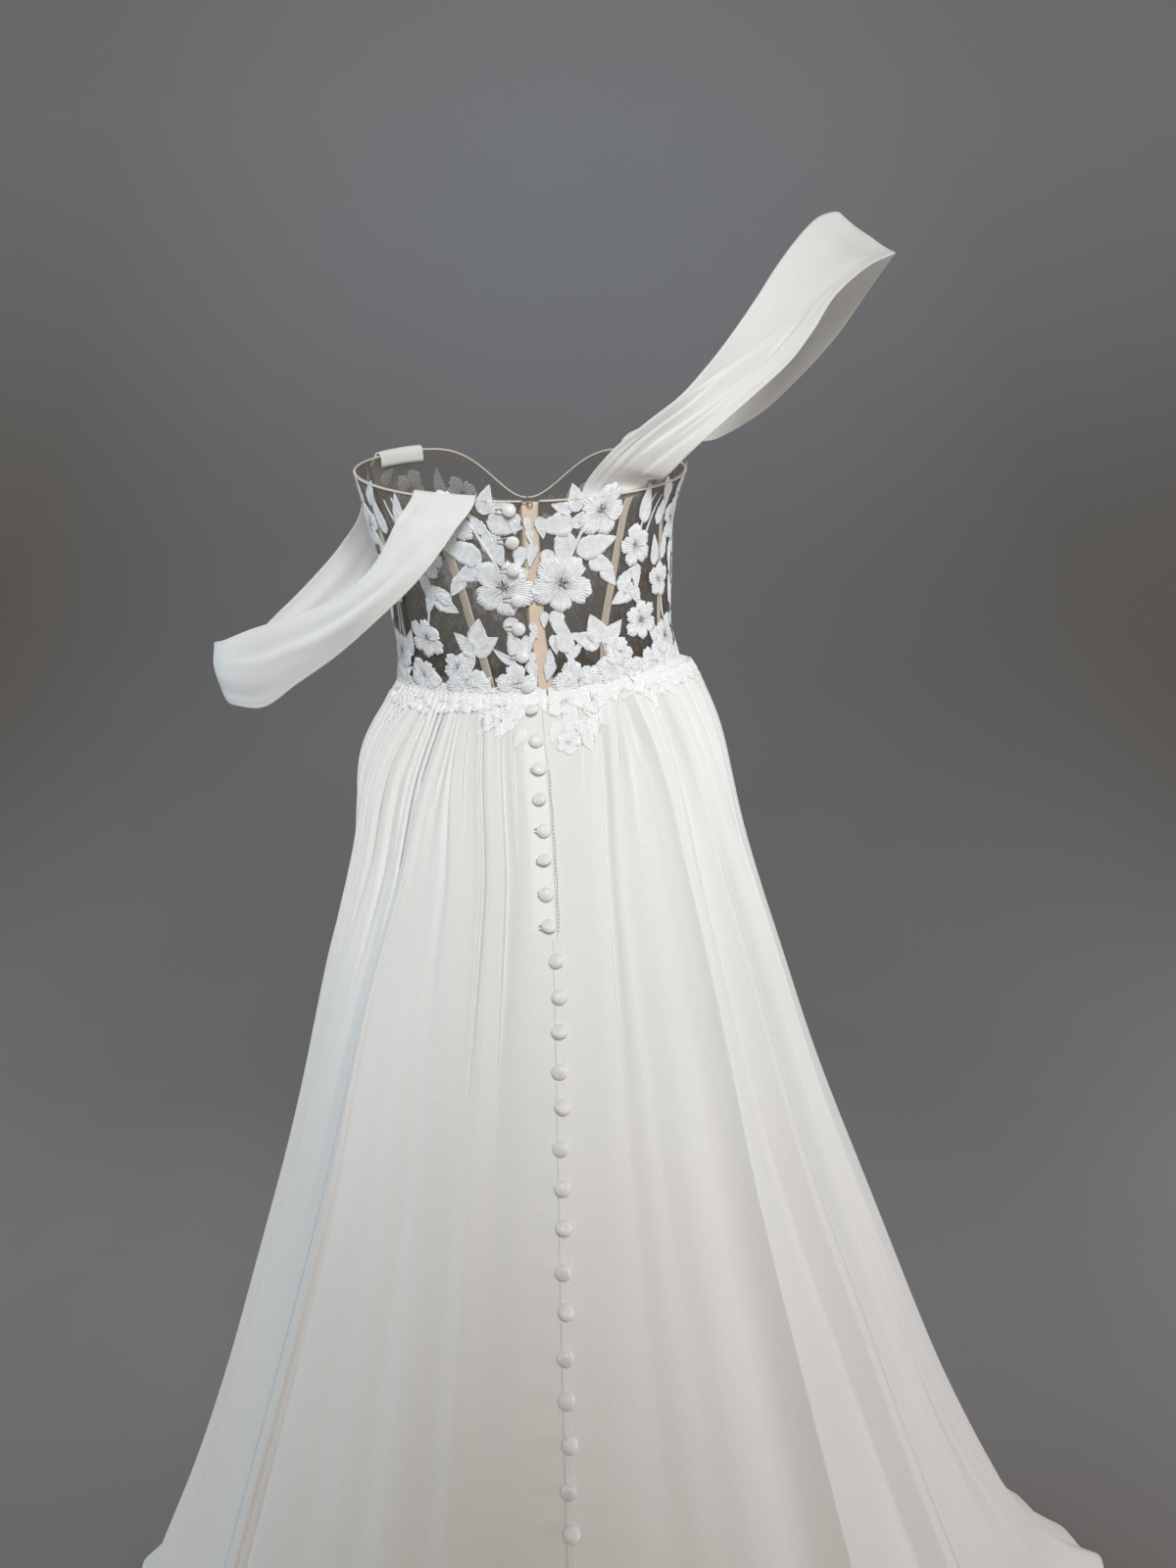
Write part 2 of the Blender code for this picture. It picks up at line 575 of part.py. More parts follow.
def make_placket(bodice):
    """The placket behind the opening."""
    lift = -(BODICE_WALL / 2.0 + SEAM_GAP + TRIM_WALL / 2.0)
    first, last = PLACKET_ANGLES
    angles = [first] + bodice.between(first, last) + [last]
    rows = [[bodice.read(angle, share, lift) for angle in angles] for share in BODICE_ROWS]
    add_cloth("placket", rows, "nude_satin", TRIM_WALL)


def lace_depth(angle, tips):
    """Reach of the waist lace below the seam, with its scalloped tips."""
    reach = LACE_BAND
    for tip, extra, half_width in tips:
        reach += extra * math.cos(min(1.0, abs(angle - tip) / half_width) * math.pi / 2.0)**2
    return reach


def make_waist_lace(skirt):
    """Lace motifs that cross from the bodice onto the skirt."""
    lift = SKIRT_WALL / 2.0 + LACE_CLEARANCE + TRIM_WALL / 2.0
    for name, first, last, tips in WAIST_LACE:
        angles = [first] + skirt.between(first, last) + [last]
        rows = []
        for share in LACE_ROWS:
            places = [LACE_START + share * lace_depth(angle, tips) / BACK_LENGTH for angle in angles]
            rows.append([skirt.read(angle, place, lift) for angle, place in zip(angles, places)])
        add_cloth(name, rows, "lace", TRIM_WALL)


def beside_back_line(skirt, place, distance):
    """The angle of a point that lies a distance to the left of the centre back line."""
    middle = skirt.read(BACK_LINE, place, 0.0)
    beside = skirt.read(BACK_LINE + 1.0, place, 0.0)
    return BACK_LINE + distance / math.dist(middle, beside)


def back_line_strip(skirt, name, edges, span, slot):
    """A strip along the centre back line, with its edges at two distances from it."""
    lift = SKIRT_WALL / 2.0 + SEAM_GAP + TRIM_WALL / 2.0
    places = [span[0]] + [row for row in SKIRT_ROWS if span[0] < row < span[1]] + [span[1]]
    rows = []
    for place in places:
        angles = [beside_back_line(skirt, place, distance) for distance in np.linspace(*edges, 3)]
        rows.append([skirt.read(angle, place, lift) for angle in angles])
    add_cloth(name, rows, slot, TRIM_WALL)


def make_closure(skirt):
    """Button stand and zip at the top of the back seam, then the narrow button tape to the hem."""
    back_line_strip(skirt, "button_stand", STAND_EDGES, STAND_SPAN, "crepe")
    back_line_strip(skirt, "zip", ZIP_EDGES, STAND_SPAN, "zip_tape")
    back_line_strip(skirt, "button_tape", TAPE_EDGES, (STAND_SPAN[1] + TAPE_GAP, TAPE_END), "crepe")


def turned_button():
    """The mesh of a covered button: a shank, a flat back and a dome."""
    # distance from the axis as a share of the radius, height as a share of the whole
    profile = ((0.0, 1.0), (0.62, 0.90), (1.0, 0.46), (0.84, 0.29), (0.27, 0.29), (0.27, 0.0), (0.0, 0.0))
    mesh = bpy.data.meshes.new("button_profile")
    points = [(out * BUTTON_RADIUS, 0.0, up * BUTTON_HEIGHT) for out, up in profile]
    mesh.from_pydata(points, [(index, index + 1) for index in range(len(points) - 1)], [])
    return mesh


def leaning(outward, number):
    """Direction of a button; each leans a little, as sewn-on buttons do."""
    axis = np.array(outward) / np.linalg.norm(outward)
    side = np.cross((0.0, 0.0, 1.0), axis)
    side = side / np.linalg.norm(side)
    up = np.cross(axis, side)
    lean = math.radians(BUTTON_TILT)
    sideways = math.tan(lean * math.sin(SIDEWAYS_TURN * number))
    upwards = math.tan(lean * math.sin(UPWARD_TURN * number + 1.0))
    axis = axis + side * sideways + up * upwards
    return axis / np.linalg.norm(axis)


def add_button(name, mesh, seat, outward, number):
    """A button whose shank stands on seat."""
    thing = bpy.data.objects.new(name, mesh)
    bpy.data.collections[COLLECTION].objects.link(thing)
    turn = thing.modifiers.new("turn", "SCREW")
    turn.steps = BUTTON_SIDES
    turn.render_steps = BUTTON_SIDES
    turn.use_merge_vertices = True
    turn.merge_threshold = 0.00005
    thing.rotation_mode = "QUATERNION"
    thing.rotation_quaternion = Vector(leaning(outward, number)).to_track_quat("Z", "Y")
    thing.location = seat


def make_buttons(skirt, bodice):
    """Seven buttons on the bodice, then the row down the skirt, one pitch apart."""
    mesh = turned_button()
    mesh.materials.append(make_material("button_satin"))
    for number in range(BODICE_BUTTONS):
        share = FIRST_BODICE_BUTTON - number * BODICE_BUTTON_STEP
        seat = bodice.read(BODICE_BUTTON_ANGLE, share, BODICE_WALL / 2.0 + BUTTON_SEAT_GAP)
        base = bodice.read(BODICE_BUTTON_ANGLE, share, 0.0)
        add_button("button_bodice_%d" % (number + 1), mesh, seat, seat - base, number)
    for number in range(SKIRT_BUTTONS):
        place = (FIRST_SKIRT_BUTTON + number * BUTTON_PITCH) / BACK_LENGTH
        layers = SKIRT_WALL / 2.0 + BUTTON_SEAT_GAP
        if place > STAND_SPAN[0]:
            layers += SEAM_GAP + TRIM_WALL
        elif place < LACE_BAND / BACK_LENGTH:
            layers += LACE_CLEARANCE + TRIM_WALL
        shift = STAND_BUTTON_SHIFT if place < STAND_SPAN[1] else 0.0
        angle = beside_back_line(skirt, place, shift)
        seat = skirt.read(angle, place, layers)
        base = skirt.read(angle, place, 0.0)
        add_button("button_skirt_%02d" % (number + 1), mesh, seat, seat - base, number + BODICE_BUTTONS)


def sewn_rows(bodice, angles, folds_over):
    """Rows of a sleeve's end, from inside the top edge up and, where it folds over, to the outside."""
    inside = -(BODICE_WALL + SLEEVE_WALL) / 2.0 - EDGE_CLEARANCE
    outside = -inside + TRIM_WALL + EDGE_CLEARANCE
    top = SLEEVE_WALL + 2.0 * EDGE_CLEARANCE
    # share of the bodice's height, lift off it, height above that
    stations = [(SEWN_SHARE, inside, 0.0), (1.0, inside, 0.0)]
    if folds_over:
        stations += [(1.0, inside / 4.0, top), (1.0, outside / 2.0, top), (1.0, outside, 0.0)]
    else:
        stations.append((1.0, inside, 0.4 * top))
    across = np.linspace(angles[0], angles[1], SLEEVE_COLUMNS)
    return [[bodice.read(angle, share, lift) + np.array((0.0, 0.0, above)) for angle in across]
            for share, lift, above in stations]


def table_rows(table):
    """Cross rows of a sleeve from its table: two edges with a low crown between them."""
    rows = []
    shares = np.linspace(0.0, 1.0, SLEEVE_COLUMNS)
    for index, row in enumerate(table):
        inner = np.array(row[0:3])
        outer = np.array(row[3:6])
        crown = row[6]
        before = table[max(index - 1, 0)]
        after = table[min(index + 1, len(table) - 1)]
        along = np.array(after[0:3]) - np.array(before[0:3])
        face = np.cross(along, outer - inner)
        face = face / np.linalg.norm(face)
        rows.append([inner * (1.0 - share) + outer * share + face * crown * math.sin(math.pi * share)
                     for share in shares])
    return rows


def evenly_read(rows):
    """The same band with rows about SLEEVE_STEP apart, each of its own rows kept."""
    middles = rows.mean(axis=1)
    lengths = np.concatenate([[0.0], np.cumsum(np.linalg.norm(np.diff(middles, axis=0), axis=1))])
    reads = []
    for first, last in zip(lengths, lengths[1:]):
        parts = max(1, round((last - first) / SLEEVE_STEP))
        reads += [first + (last - first) * part / parts for part in range(parts)]
    reads = np.array(reads + [lengths[-1]])
    lines = [[smooth(reads, lengths, rows[:, place, axis]) for axis in range(3)]
             for place in range(SLEEVE_COLUMNS)]
    return np.transpose(lines, (2, 0, 1))


def make_sleeves(bodice):
    """The two draped sleeves, each one band from the back edge round the arm to the front edge."""
    for name, table, back_angles, front_angles, folds_over in SLEEVES:
        back_end = sewn_rows(bodice, back_angles, folds_over)
        front_end = sewn_rows(bodice, front_angles, folds_over)[::-1]
        rows = np.array(back_end + table_rows(table) + front_end)
        add_cloth(name, evenly_read(rows), "crepe", SLEEVE_WALL)


def main():
    """Build the dress."""
    for thing in list(bpy.data.objects):
        bpy.data.objects.remove(thing)
    group = bpy.data.collections.new(COLLECTION)
    bpy.context.scene.collection.children.link(group)
    skirt = Grid(skirt_point, skirt_columns(), SKIRT_ROWS)
    bodice = Grid(bodice_point, bodice_columns(), BODICE_ROWS)
    make_skirt(skirt)
    make_bodice(bodice)
    make_bindings(bodice)
    make_boning(bodice)
    make_placket(bodice)
    make_waist_lace(skirt)
    make_closure(skirt)
    make_buttons(skirt, bodice)
    make_sleeves(bodice)


main()
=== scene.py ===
"""Looks of the wedding dress: crepe skirt with a train, sheer lace bodice, draped sleeves and buttons.

Metres, +Z up.  The origin is the middle of the waist seam, the back of the dress faces +Y and its left
side faces +X.  Angles run round the dress from the centre back (0) over the left side (90) to the
centre front (180).  The large forms are those of the solids.  The cloth is thinner than their walls,
and the fine folds, lace and stitches are laid on it.
"""

import math

import bpy
import numpy as np
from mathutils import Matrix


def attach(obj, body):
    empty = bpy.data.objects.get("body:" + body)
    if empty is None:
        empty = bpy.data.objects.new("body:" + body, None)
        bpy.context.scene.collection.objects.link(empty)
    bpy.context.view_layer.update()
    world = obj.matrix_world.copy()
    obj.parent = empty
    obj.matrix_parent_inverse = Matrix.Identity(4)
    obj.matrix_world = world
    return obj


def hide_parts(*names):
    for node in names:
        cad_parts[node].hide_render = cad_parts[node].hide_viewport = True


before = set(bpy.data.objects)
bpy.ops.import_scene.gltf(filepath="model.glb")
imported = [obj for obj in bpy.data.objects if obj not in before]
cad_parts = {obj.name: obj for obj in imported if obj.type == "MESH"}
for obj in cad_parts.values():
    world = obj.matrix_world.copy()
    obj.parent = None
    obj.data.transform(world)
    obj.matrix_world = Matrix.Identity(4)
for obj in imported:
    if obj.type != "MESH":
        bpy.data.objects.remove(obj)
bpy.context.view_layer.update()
MM = 0.001

# ---------------------------------------------------------------- sizes

SKIRT_WALL = 0.0010
BODICE_WALL = 0.0012
TRIM_WALL = 0.0010
SLEEVE_WALL = 0.0015
SEAM_GAP = 0.0003
WAIST_RISE_AT_SIDES = 0.0145
WAIST_TILT = 0.0095
FLOOR_LEVEL = -1.0480
FLOOR = -1.0500
BACK_LENGTH = 1.48
BACK_LINE = -6.0

TOP_EDGE_AT_BACK = 0.150
TOP_EDGE_RISE = 0.034
NECK_DIP = 0.050
NECK_DIP_ANGLE = 19.0
CUP_DEPTH = 0.020
CUP_RADIUS = 0.042
CUP_HEIGHT = 0.150
CUP_SPACING = 0.072
BACK_LINE_LEAN = -3.5

# Boning channels: side, number, angle at the waist and at the top edge
BONING = (
    ("left", 1, 17.5, 32.5),
    ("left", 2, 64.0, 64.0),
    ("left", 3, 108.0, 108.0),
    ("right", 1, -25.0, -41.0),
    ("right", 2, -64.0, -64.0),
    ("right", 3, -108.0, -108.0),
)
BONING_HALF_ANGLE = 1.7
BONING_SPAN = (0.03, 0.97)
PANEL_EDGES = (37.0, 108.0)
OPENING_ANGLE = -5.5
PLACKET_SHOWN = (-5.6, 1.0)

BUTTON_RADIUS = 0.0055
BUTTON_HEIGHT = 0.0062
BUTTON_PITCH = 0.0257
FIRST_SKIRT_BUTTON = 0.0165
SKIRT_BUTTONS = 23
TRAIN_BUTTONS = 16
BODICE_BUTTONS = 7
BODICE_BUTTON_ANGLE = 4.3
FIRST_BODICE_BUTTON = 0.95
BODICE_BUTTON_STEP = 0.15
STAND_BUTTON_SHIFT = 0.0065
BUTTON_TILT = 22.0

STAND_EDGES = (-0.0005, 0.020)
STAND_SPAN = (0.042, 0.136)
ZIP_EDGES = (-0.0055, -0.0008)
TAPE_EDGES = (-0.0035, 0.0035)

# Thickness of the net, the lace, the ribbons and the sleeves
NET_WALL = 0.3 * MM
LACE_WALL = 0.45 * MM
APPLIQUE_WALL = 0.4 * MM
RIBBON_WALL = 0.5 * MM
BINDING_WALL = 0.4 * MM
SLEEVE_CLOTH_WALL = 1.0 * MM
# Distance of the net and the boning from the middle of the bodice's wall, outwards
NET_LIFT = -0.4 * MM
BONE_LIFT = 0.15 * MM
# Height of the trims and the lace on the skirt over the middle of its wall
TRIM_BASE = SKIRT_WALL / 2.0 + 0.3 * MM
# Metres of net for one degree round the waist, rows of a panel's net and degrees between its columns
NET_PER_DEGREE = 0.0021
NET_ROWS = 30
NET_STEP = 1.5
# Zip teeth and seam stitches: distance between them and length of each
TOOTH_PITCH = 0.0031
TOOTH_LENGTH = 0.0019
STITCH_PITCH = 0.0046
STITCH_LENGTH = 0.0030
STITCH_SPAN = (0.139, 0.985)
STITCH_DISTANCE = 0.0028
# Reach of the elastic loops from their buttons to the opening's edge
BODICE_LOOP_REACH = 0.0110
SKIRT_LOOP_REACH = 0.0065
# Share of a motif's relief that is left where it lies on the skirt
APPLIQUE_RELIEF = 0.6
# Degrees between columns of the skirt's cloth, and the least beside creases, at the back and at the front
COLUMN_STEP = 1.2
CLOSEST_COLUMNS = 0.10
CLOSEST_FRONT_COLUMNS = 0.38

# Level sections of the skirt without its folds, from the waist seam to the hem.
# fraction of the length, middle y, back y, back z, left x, right x, side z, front y, front z
SKIRT_SECTIONS = (
    (0.00, 0.000, 0.092, 0.000, 0.126, -0.126, 0.000, -0.092, 0.000),
    (0.05, 0.010, 0.135, -0.061, 0.152, -0.147, -0.055, -0.108, -0.052),
    (0.12, 0.020, 0.194, -0.145, 0.160, -0.167, -0.135, -0.122, -0.125),
    (0.20, 0.030, 0.260, -0.244, 0.175, -0.194, -0.225, -0.138, -0.208),
    (0.30, 0.030, 0.334, -0.372, 0.198, -0.229, -0.340, -0.165, -0.312),
    (0.41, 0.020, 0.399, -0.521, 0.231, -0.276, -0.465, -0.200, -0.430),
    (0.53, 0.010, 0.459, -0.688, 0.270, -0.331, -0.600, -0.243, -0.555),
    (0.65, -0.010, 0.534, -0.849, 0.314, -0.390, -0.730, -0.290, -0.680),
    (0.76, -0.030, 0.637, -0.986, 0.358, -0.451, -0.845, -0.338, -0.800),
    (0.86, -0.060, 0.772, -1.047, 0.399, -0.511, -0.940, -0.385, -0.905),
    (0.93, -0.080, 0.876, -1.047, 0.435, -0.566, -1.000, -0.417, -0.978),
    (1.00, -0.100, 0.979, -1.047, 0.468, -0.619, -1.047, -0.445, -1.047),
)

# Sections of the bodice: height, middle x, half width, depth at the back, depth at the front
BODICE_SECTIONS = (
    (-0.015, 0.000, 0.1255, 0.0920, 0.0920),
    (0.005, 0.001, 0.1250, 0.0922, 0.0915),
    (0.030, 0.005, 0.1205, 0.0928, 0.0910),
    (0.050, 0.0090, 0.1190, 0.0940, 0.0930),
    (0.083, 0.0125, 0.1212, 0.0975, 0.1010),
    (0.118, 0.0170, 0.1262, 0.1020, 0.1120),
    (0.150, 0.0200, 0.1310, 0.1060, 0.1200),
    (0.184, 0.0190, 0.1405, 0.1090, 0.1190),
    (0.225, 0.0180, 0.1460, 0.1110, 0.1140),
)

# Lines of the skirt's grain: the angle at the hem, then the angles at these fractions of the length
GRAIN_STATIONS = (0.0, 0.05, 0.12, 0.20, 0.30, 0.55)
GRAIN_LINES = (
    (-164.0, -165.0, -164.8, -164.5, -164.2, -164.0, -164.0),
    (-147.0, -150.0, -149.5, -149.0, -148.5, -148.0, -147.5),
    (-131.0, -132.0, -131.8, -131.5, -131.0, -130.5, -130.0),
    (-115.0, -108.0, -107.8, -107.5, -107.2, -107.0, -109.0),
    (-107.0, -90.0, -90.0, -90.0, -90.0, -90.5, -93.0),
    (-100.0, -74.0, -74.2, -74.5, -74.5, -75.0, -78.5),
    (-92.0, -67.5, -69.0, -70.7, -72.0, -73.0, -75.5),
    (-84.0, -59.5, -63.0, -67.0, -69.8, -71.5, -73.5),
    (-71.0, -54.5, -59.0, -62.5, -64.5, -66.5, -69.6),
    (-59.0, -44.0, -46.8, -48.5, -49.0, -50.5, -57.0),
    (-42.0, -31.0, -36.5, -39.8, -40.5, -40.5, -41.0),
    (-28.0, -27.0, -25.2, -24.0, -24.3, -25.0, -27.0),
    (-19.0, -20.5, -19.4, -18.5, -18.1, -18.0, -18.5),
    (-6.0, 0.0, -2.8, -5.0, -5.6, -5.8, -6.0),
    (14.0, 20.5, 15.8, 13.0, 13.0, 13.0, 13.5),
    (27.0, 28.5, 26.0, 24.0, 24.0, 24.0, 25.0),
    (56.0, 32.5, 33.0, 39.5, 44.8, 46.0, 53.0),
    (65.0, 38.0, 39.0, 43.5, 49.8, 54.5, 61.5),
    (74.0, 45.0, 49.7, 55.0, 61.4, 67.0, 72.0),
    (86.0, 52.0, 58.9, 66.0, 73.1, 79.0, 83.5),
    (100.0, 73.0, 78.5, 84.0, 88.9, 93.0, 97.0),
    (118.0, 106.0, 108.0, 110.0, 111.5, 113.0, 116.0),
    (134.0, 129.0, 130.0, 131.0, 131.8, 132.5, 133.5),
    (151.0, 149.0, 149.2, 149.5, 149.7, 150.0, 150.5),
    (168.0, 166.0, 166.2, 166.5, 166.7, 167.0, 167.5),
)

# Edges and hollows of the folds: the angle at the hem, the rise in mm at the fractions below, softness
FOLD_STATIONS = (0.03, 0.14, 0.35, 0.65, 1.0)
FOLD_EDGES = (
    (-173.0, -1.0, -2.0, -3.0, -5.0, -6.0, 2.2),
    (-164.0, 2.5, 4.0, 10.0, 16.0, 23.0, 1.5),
    (-156.0, -1.0, -2.0, -3.0, -6.0, -8.0, 2.0),
    (-147.0, 2.5, 4.0, 9.0, 13.0, 19.0, 1.6),
    (-139.0, -1.5, -3.0, -4.0, -7.0, -9.0, 1.8),
    (-131.0, 3.0, 4.0, 11.0, 17.0, 25.0, 1.3),
    (-123.0, -1.5, -2.0, -2.0, -2.0, -4.0, 1.6),
    (-116.0, 3.0, 4.0, 11.0, 16.0, 22.0, 1.2),
    (-111.0, 0.5, 1.0, 5.0, 8.0, 12.0, 1.0),
    (-106.5, 3.0, 5.0, 13.0, 19.0, 25.0, 1.0),
    (-102.0, 1.0, 2.0, 8.0, 12.0, 17.0, 0.5),
    (-98.5, 3.0, 5.5, 15.0, 22.0, 29.0, 0.6),
    (-93.5, 1.0, 2.5, 8.0, 11.0, 16.0, 0.7),
    (-90.0, 2.5, 4.5, 10.0, 15.0, 20.0, 0.5),
    (-87.0, 0.0, 0.5, 3.0, 6.0, 8.0, 0.3),
    (-83.5, 4.0, 7.0, 10.0, 13.0, 15.0, 0.4),
    (-77.0, 1.5, 3.0, 5.0, 6.0, 7.0, 1.4),
    (-70.0, 1.5, 2.5, 4.0, 4.0, 4.0, 1.6),
    (-63.0, 4.0, 6.5, 9.0, 10.0, 11.0, 0.3),
    (-60.0, -2.5, -3.5, -4.0, -3.0, -4.0, 0.3),
    (-54.0, 1.0, 2.0, 2.5, 3.0, 3.0, 1.6),
    (-45.4, 4.0, 6.0, 8.0, 9.0, 10.0, 0.3),
    (-39.5, -2.0, -3.0, -4.0, -4.0, -4.0, 1.8),
    (-33.0, 1.0, 1.5, 1.5, 1.5, 1.5, 2.0),
    (-28.5, -1.5, -1.5, -0.3, 0.0, 0.0, 0.9),
    (-24.5, 2.0, 1.8, 0.3, 0.3, 0.3, 1.4),
    (-20.5, -2.5, -2.6, -0.6, 0.0, 0.0, 0.8),
    (-16.0, 1.5, 1.4, 0.4, 0.3, 0.3, 1.2),
    (-8.0, 0.0, 0.0, 0.0, 0.0, 0.0, 1.5),
    (-4.0, 0.0, 0.0, 0.0, 0.0, 0.0, 1.5),
    (2.0, 0.5, 1.0, 0.5, 0.5, 0.5, 2.0),
    (8.5, -1.5, -1.5, -1.0, -1.0, -1.0, 1.6),
    (13.5, 3.0, 3.0, 1.5, 1.0, 1.0, 0.9),
    (17.5, -2.0, -2.5, -1.0, -1.0, -1.0, 1.2),
    (23.0, 1.0, 1.0, 1.0, 1.0, 1.0, 1.6),
    (27.0, 3.5, 3.0, 1.5, 1.0, 1.5, 0.9),
    (31.0, -2.5, -2.5, -1.5, -1.0, -1.5, 1.5),
    (37.0, 0.5, 1.0, 1.0, 1.5, 2.0, 2.2),
    (43.0, -1.0, -1.0, -0.5, 0.5, 0.0, 2.2),
    (46.0, 0.5, 1.0, 1.5, 3.0, 3.0, 2.0),
    (51.5, 1.5, 2.5, 4.5, 8.0, 9.0, 1.0),
    (54.0, 3.0, 5.0, 6.5, 4.5, 5.0, 0.3),
    (55.6, 3.5, 6.0, 8.5, 10.0, 12.0, 0.3),
    (70.0, -3.5, -5.0, -6.5, -7.0, -7.0, 0.6),
    (76.5, 3.5, 6.0, 9.0, 13.0, 16.0, 0.4),
    (80.5, -2.0, -2.0, -1.0, 2.0, 3.0, 0.6),
    (85.0, 5.0, 8.5, 15.0, 19.0, 24.0, 0.6),
    (92.0, -2.0, -2.0, 1.0, 2.0, 3.0, 1.0),
    (100.0, 3.0, 4.0, 10.0, 15.0, 21.0, 1.1),
    (109.0, -1.5, -2.0, -4.0, -6.0, -8.0, 1.6),
    (118.0, 3.0, 4.0, 9.0, 13.0, 20.0, 1.4),
    (126.0, -1.0, -2.0, -4.0, -6.0, -9.0, 1.6),
    (134.0, 3.0, 4.0, 11.0, 16.0, 24.0, 1.4),
    (142.0, -1.5, -3.0, -4.0, -7.0, -8.0, 1.8),
    (151.0, 2.5, 4.0, 9.0, 13.0, 18.0, 1.6),
    (160.0, -1.0, -2.0, -3.0, -6.0, -7.0, 2.0),
    (168.0, 2.5, 4.0, 10.0, 15.0, 21.0, 1.6),
    (178.0, -1.0, -2.0, -3.0, -4.0, -6.0, 2.2),
)
# gore, and the angles at the hem between which it lies
SKIRT_GORES = (
    ("skirt_back_left", BACK_LINE, 61.0),
    ("skirt_side_left", 61.0, 109.0),
    ("skirt_front", 109.0, 253.0),
    ("skirt_side_right", 253.0, 294.5),
    ("skirt_back_right", 294.5, 360.0 + BACK_LINE),
)

# Sleeves, from the back edge of the bodice round the arm to its front edge.
# inner edge x, y, z, outer edge x, y, z, crown between the edges
LEFT_SLEEVE = (
    (0.109, 0.1065, 0.1340, 0.062, 0.1190, 0.1280, 0.002),
    (0.127, 0.1040, 0.1030, 0.090, 0.1170, 0.0920, 0.005),
    (0.154, 0.0930, 0.0800, 0.125, 0.1080, 0.0600, 0.006),
    (0.184, 0.0780, 0.0670, 0.163, 0.0880, 0.0300, 0.006),
    (0.212, 0.0650, 0.0580, 0.200, 0.0700, 0.0060, 0.006),
    (0.240, 0.0530, 0.0500, 0.231, 0.0550, -0.0140, 0.006),
    (0.267, 0.0350, 0.0405, 0.261, 0.0360, -0.0145, 0.005),
    (0.283, 0.0120, 0.0368, 0.276, 0.0120, -0.0115, 0.004),
    (0.288, -0.0120, 0.0320, 0.282, -0.0120, -0.0070, 0.004),
    (0.272, -0.0380, 0.0350, 0.264, -0.0350, -0.0050, 0.004),
    (0.242, -0.0590, 0.0640, 0.228, -0.0560, 0.0130, 0.005),
    (0.216, -0.0730, 0.0920, 0.193, -0.0770, 0.0420, 0.006),
    (0.192, -0.0830, 0.1210, 0.160, -0.0960, 0.0780, 0.006),
    (0.174, -0.0830, 0.1460, 0.142, -0.1130, 0.1180, 0.005),
    (0.165, -0.0740, 0.1740, 0.131, -0.1180, 0.1620, 0.003),
)
RIGHT_SLEEVE = (
    (-0.053, 0.1080, 0.1830, -0.098, 0.0860, 0.1690, 0.002),
    (-0.081, 0.1120, 0.2060, -0.114, 0.0960, 0.1840, 0.004),
    (-0.107, 0.1090, 0.2260, -0.135, 0.1000, 0.2030, 0.005),
    (-0.129, 0.1000, 0.2500, -0.165, 0.0960, 0.2290, 0.006),
    (-0.148, 0.0910, 0.2750, -0.193, 0.0900, 0.2550, 0.006),
    (-0.166, 0.0800, 0.3010, -0.212, 0.0820, 0.2800, 0.006),
    (-0.184, 0.0660, 0.3290, -0.228, 0.0700, 0.3050, 0.006),
    (-0.209, 0.0440, 0.3620, -0.258, 0.0500, 0.3330, 0.005),
    (-0.227, 0.0200, 0.3795, -0.280, 0.0200, 0.3475, 0.004),
    (-0.245, -0.0060, 0.3880, -0.293, -0.0060, 0.3560, 0.001),
    (-0.230, -0.0380, 0.3750, -0.280, -0.0340, 0.3360, 0.005),
    (-0.208, -0.0640, 0.3430, -0.256, -0.0560, 0.3000, 0.006),
    (-0.181, -0.0820, 0.3040, -0.228, -0.0740, 0.2690, 0.006),
    (-0.150, -0.0930, 0.2670, -0.196, -0.0840, 0.2400, 0.006),
    (-0.116, -0.0990, 0.2400, -0.158, -0.0820, 0.2180, 0.004),
)
# name, table, angles of the inner and outer edge at the back end and at the front end, folds over
SLEEVES = (
    ("sleeve_left", LEFT_SLEEVE, (38.0, 15.5), (116.0, 138.0), True),
    ("sleeve_right", RIGHT_SLEEVE, (-21.0, -49.0), (-142.0, -117.0), False),
)
EDGE_CLEARANCE = 0.0009

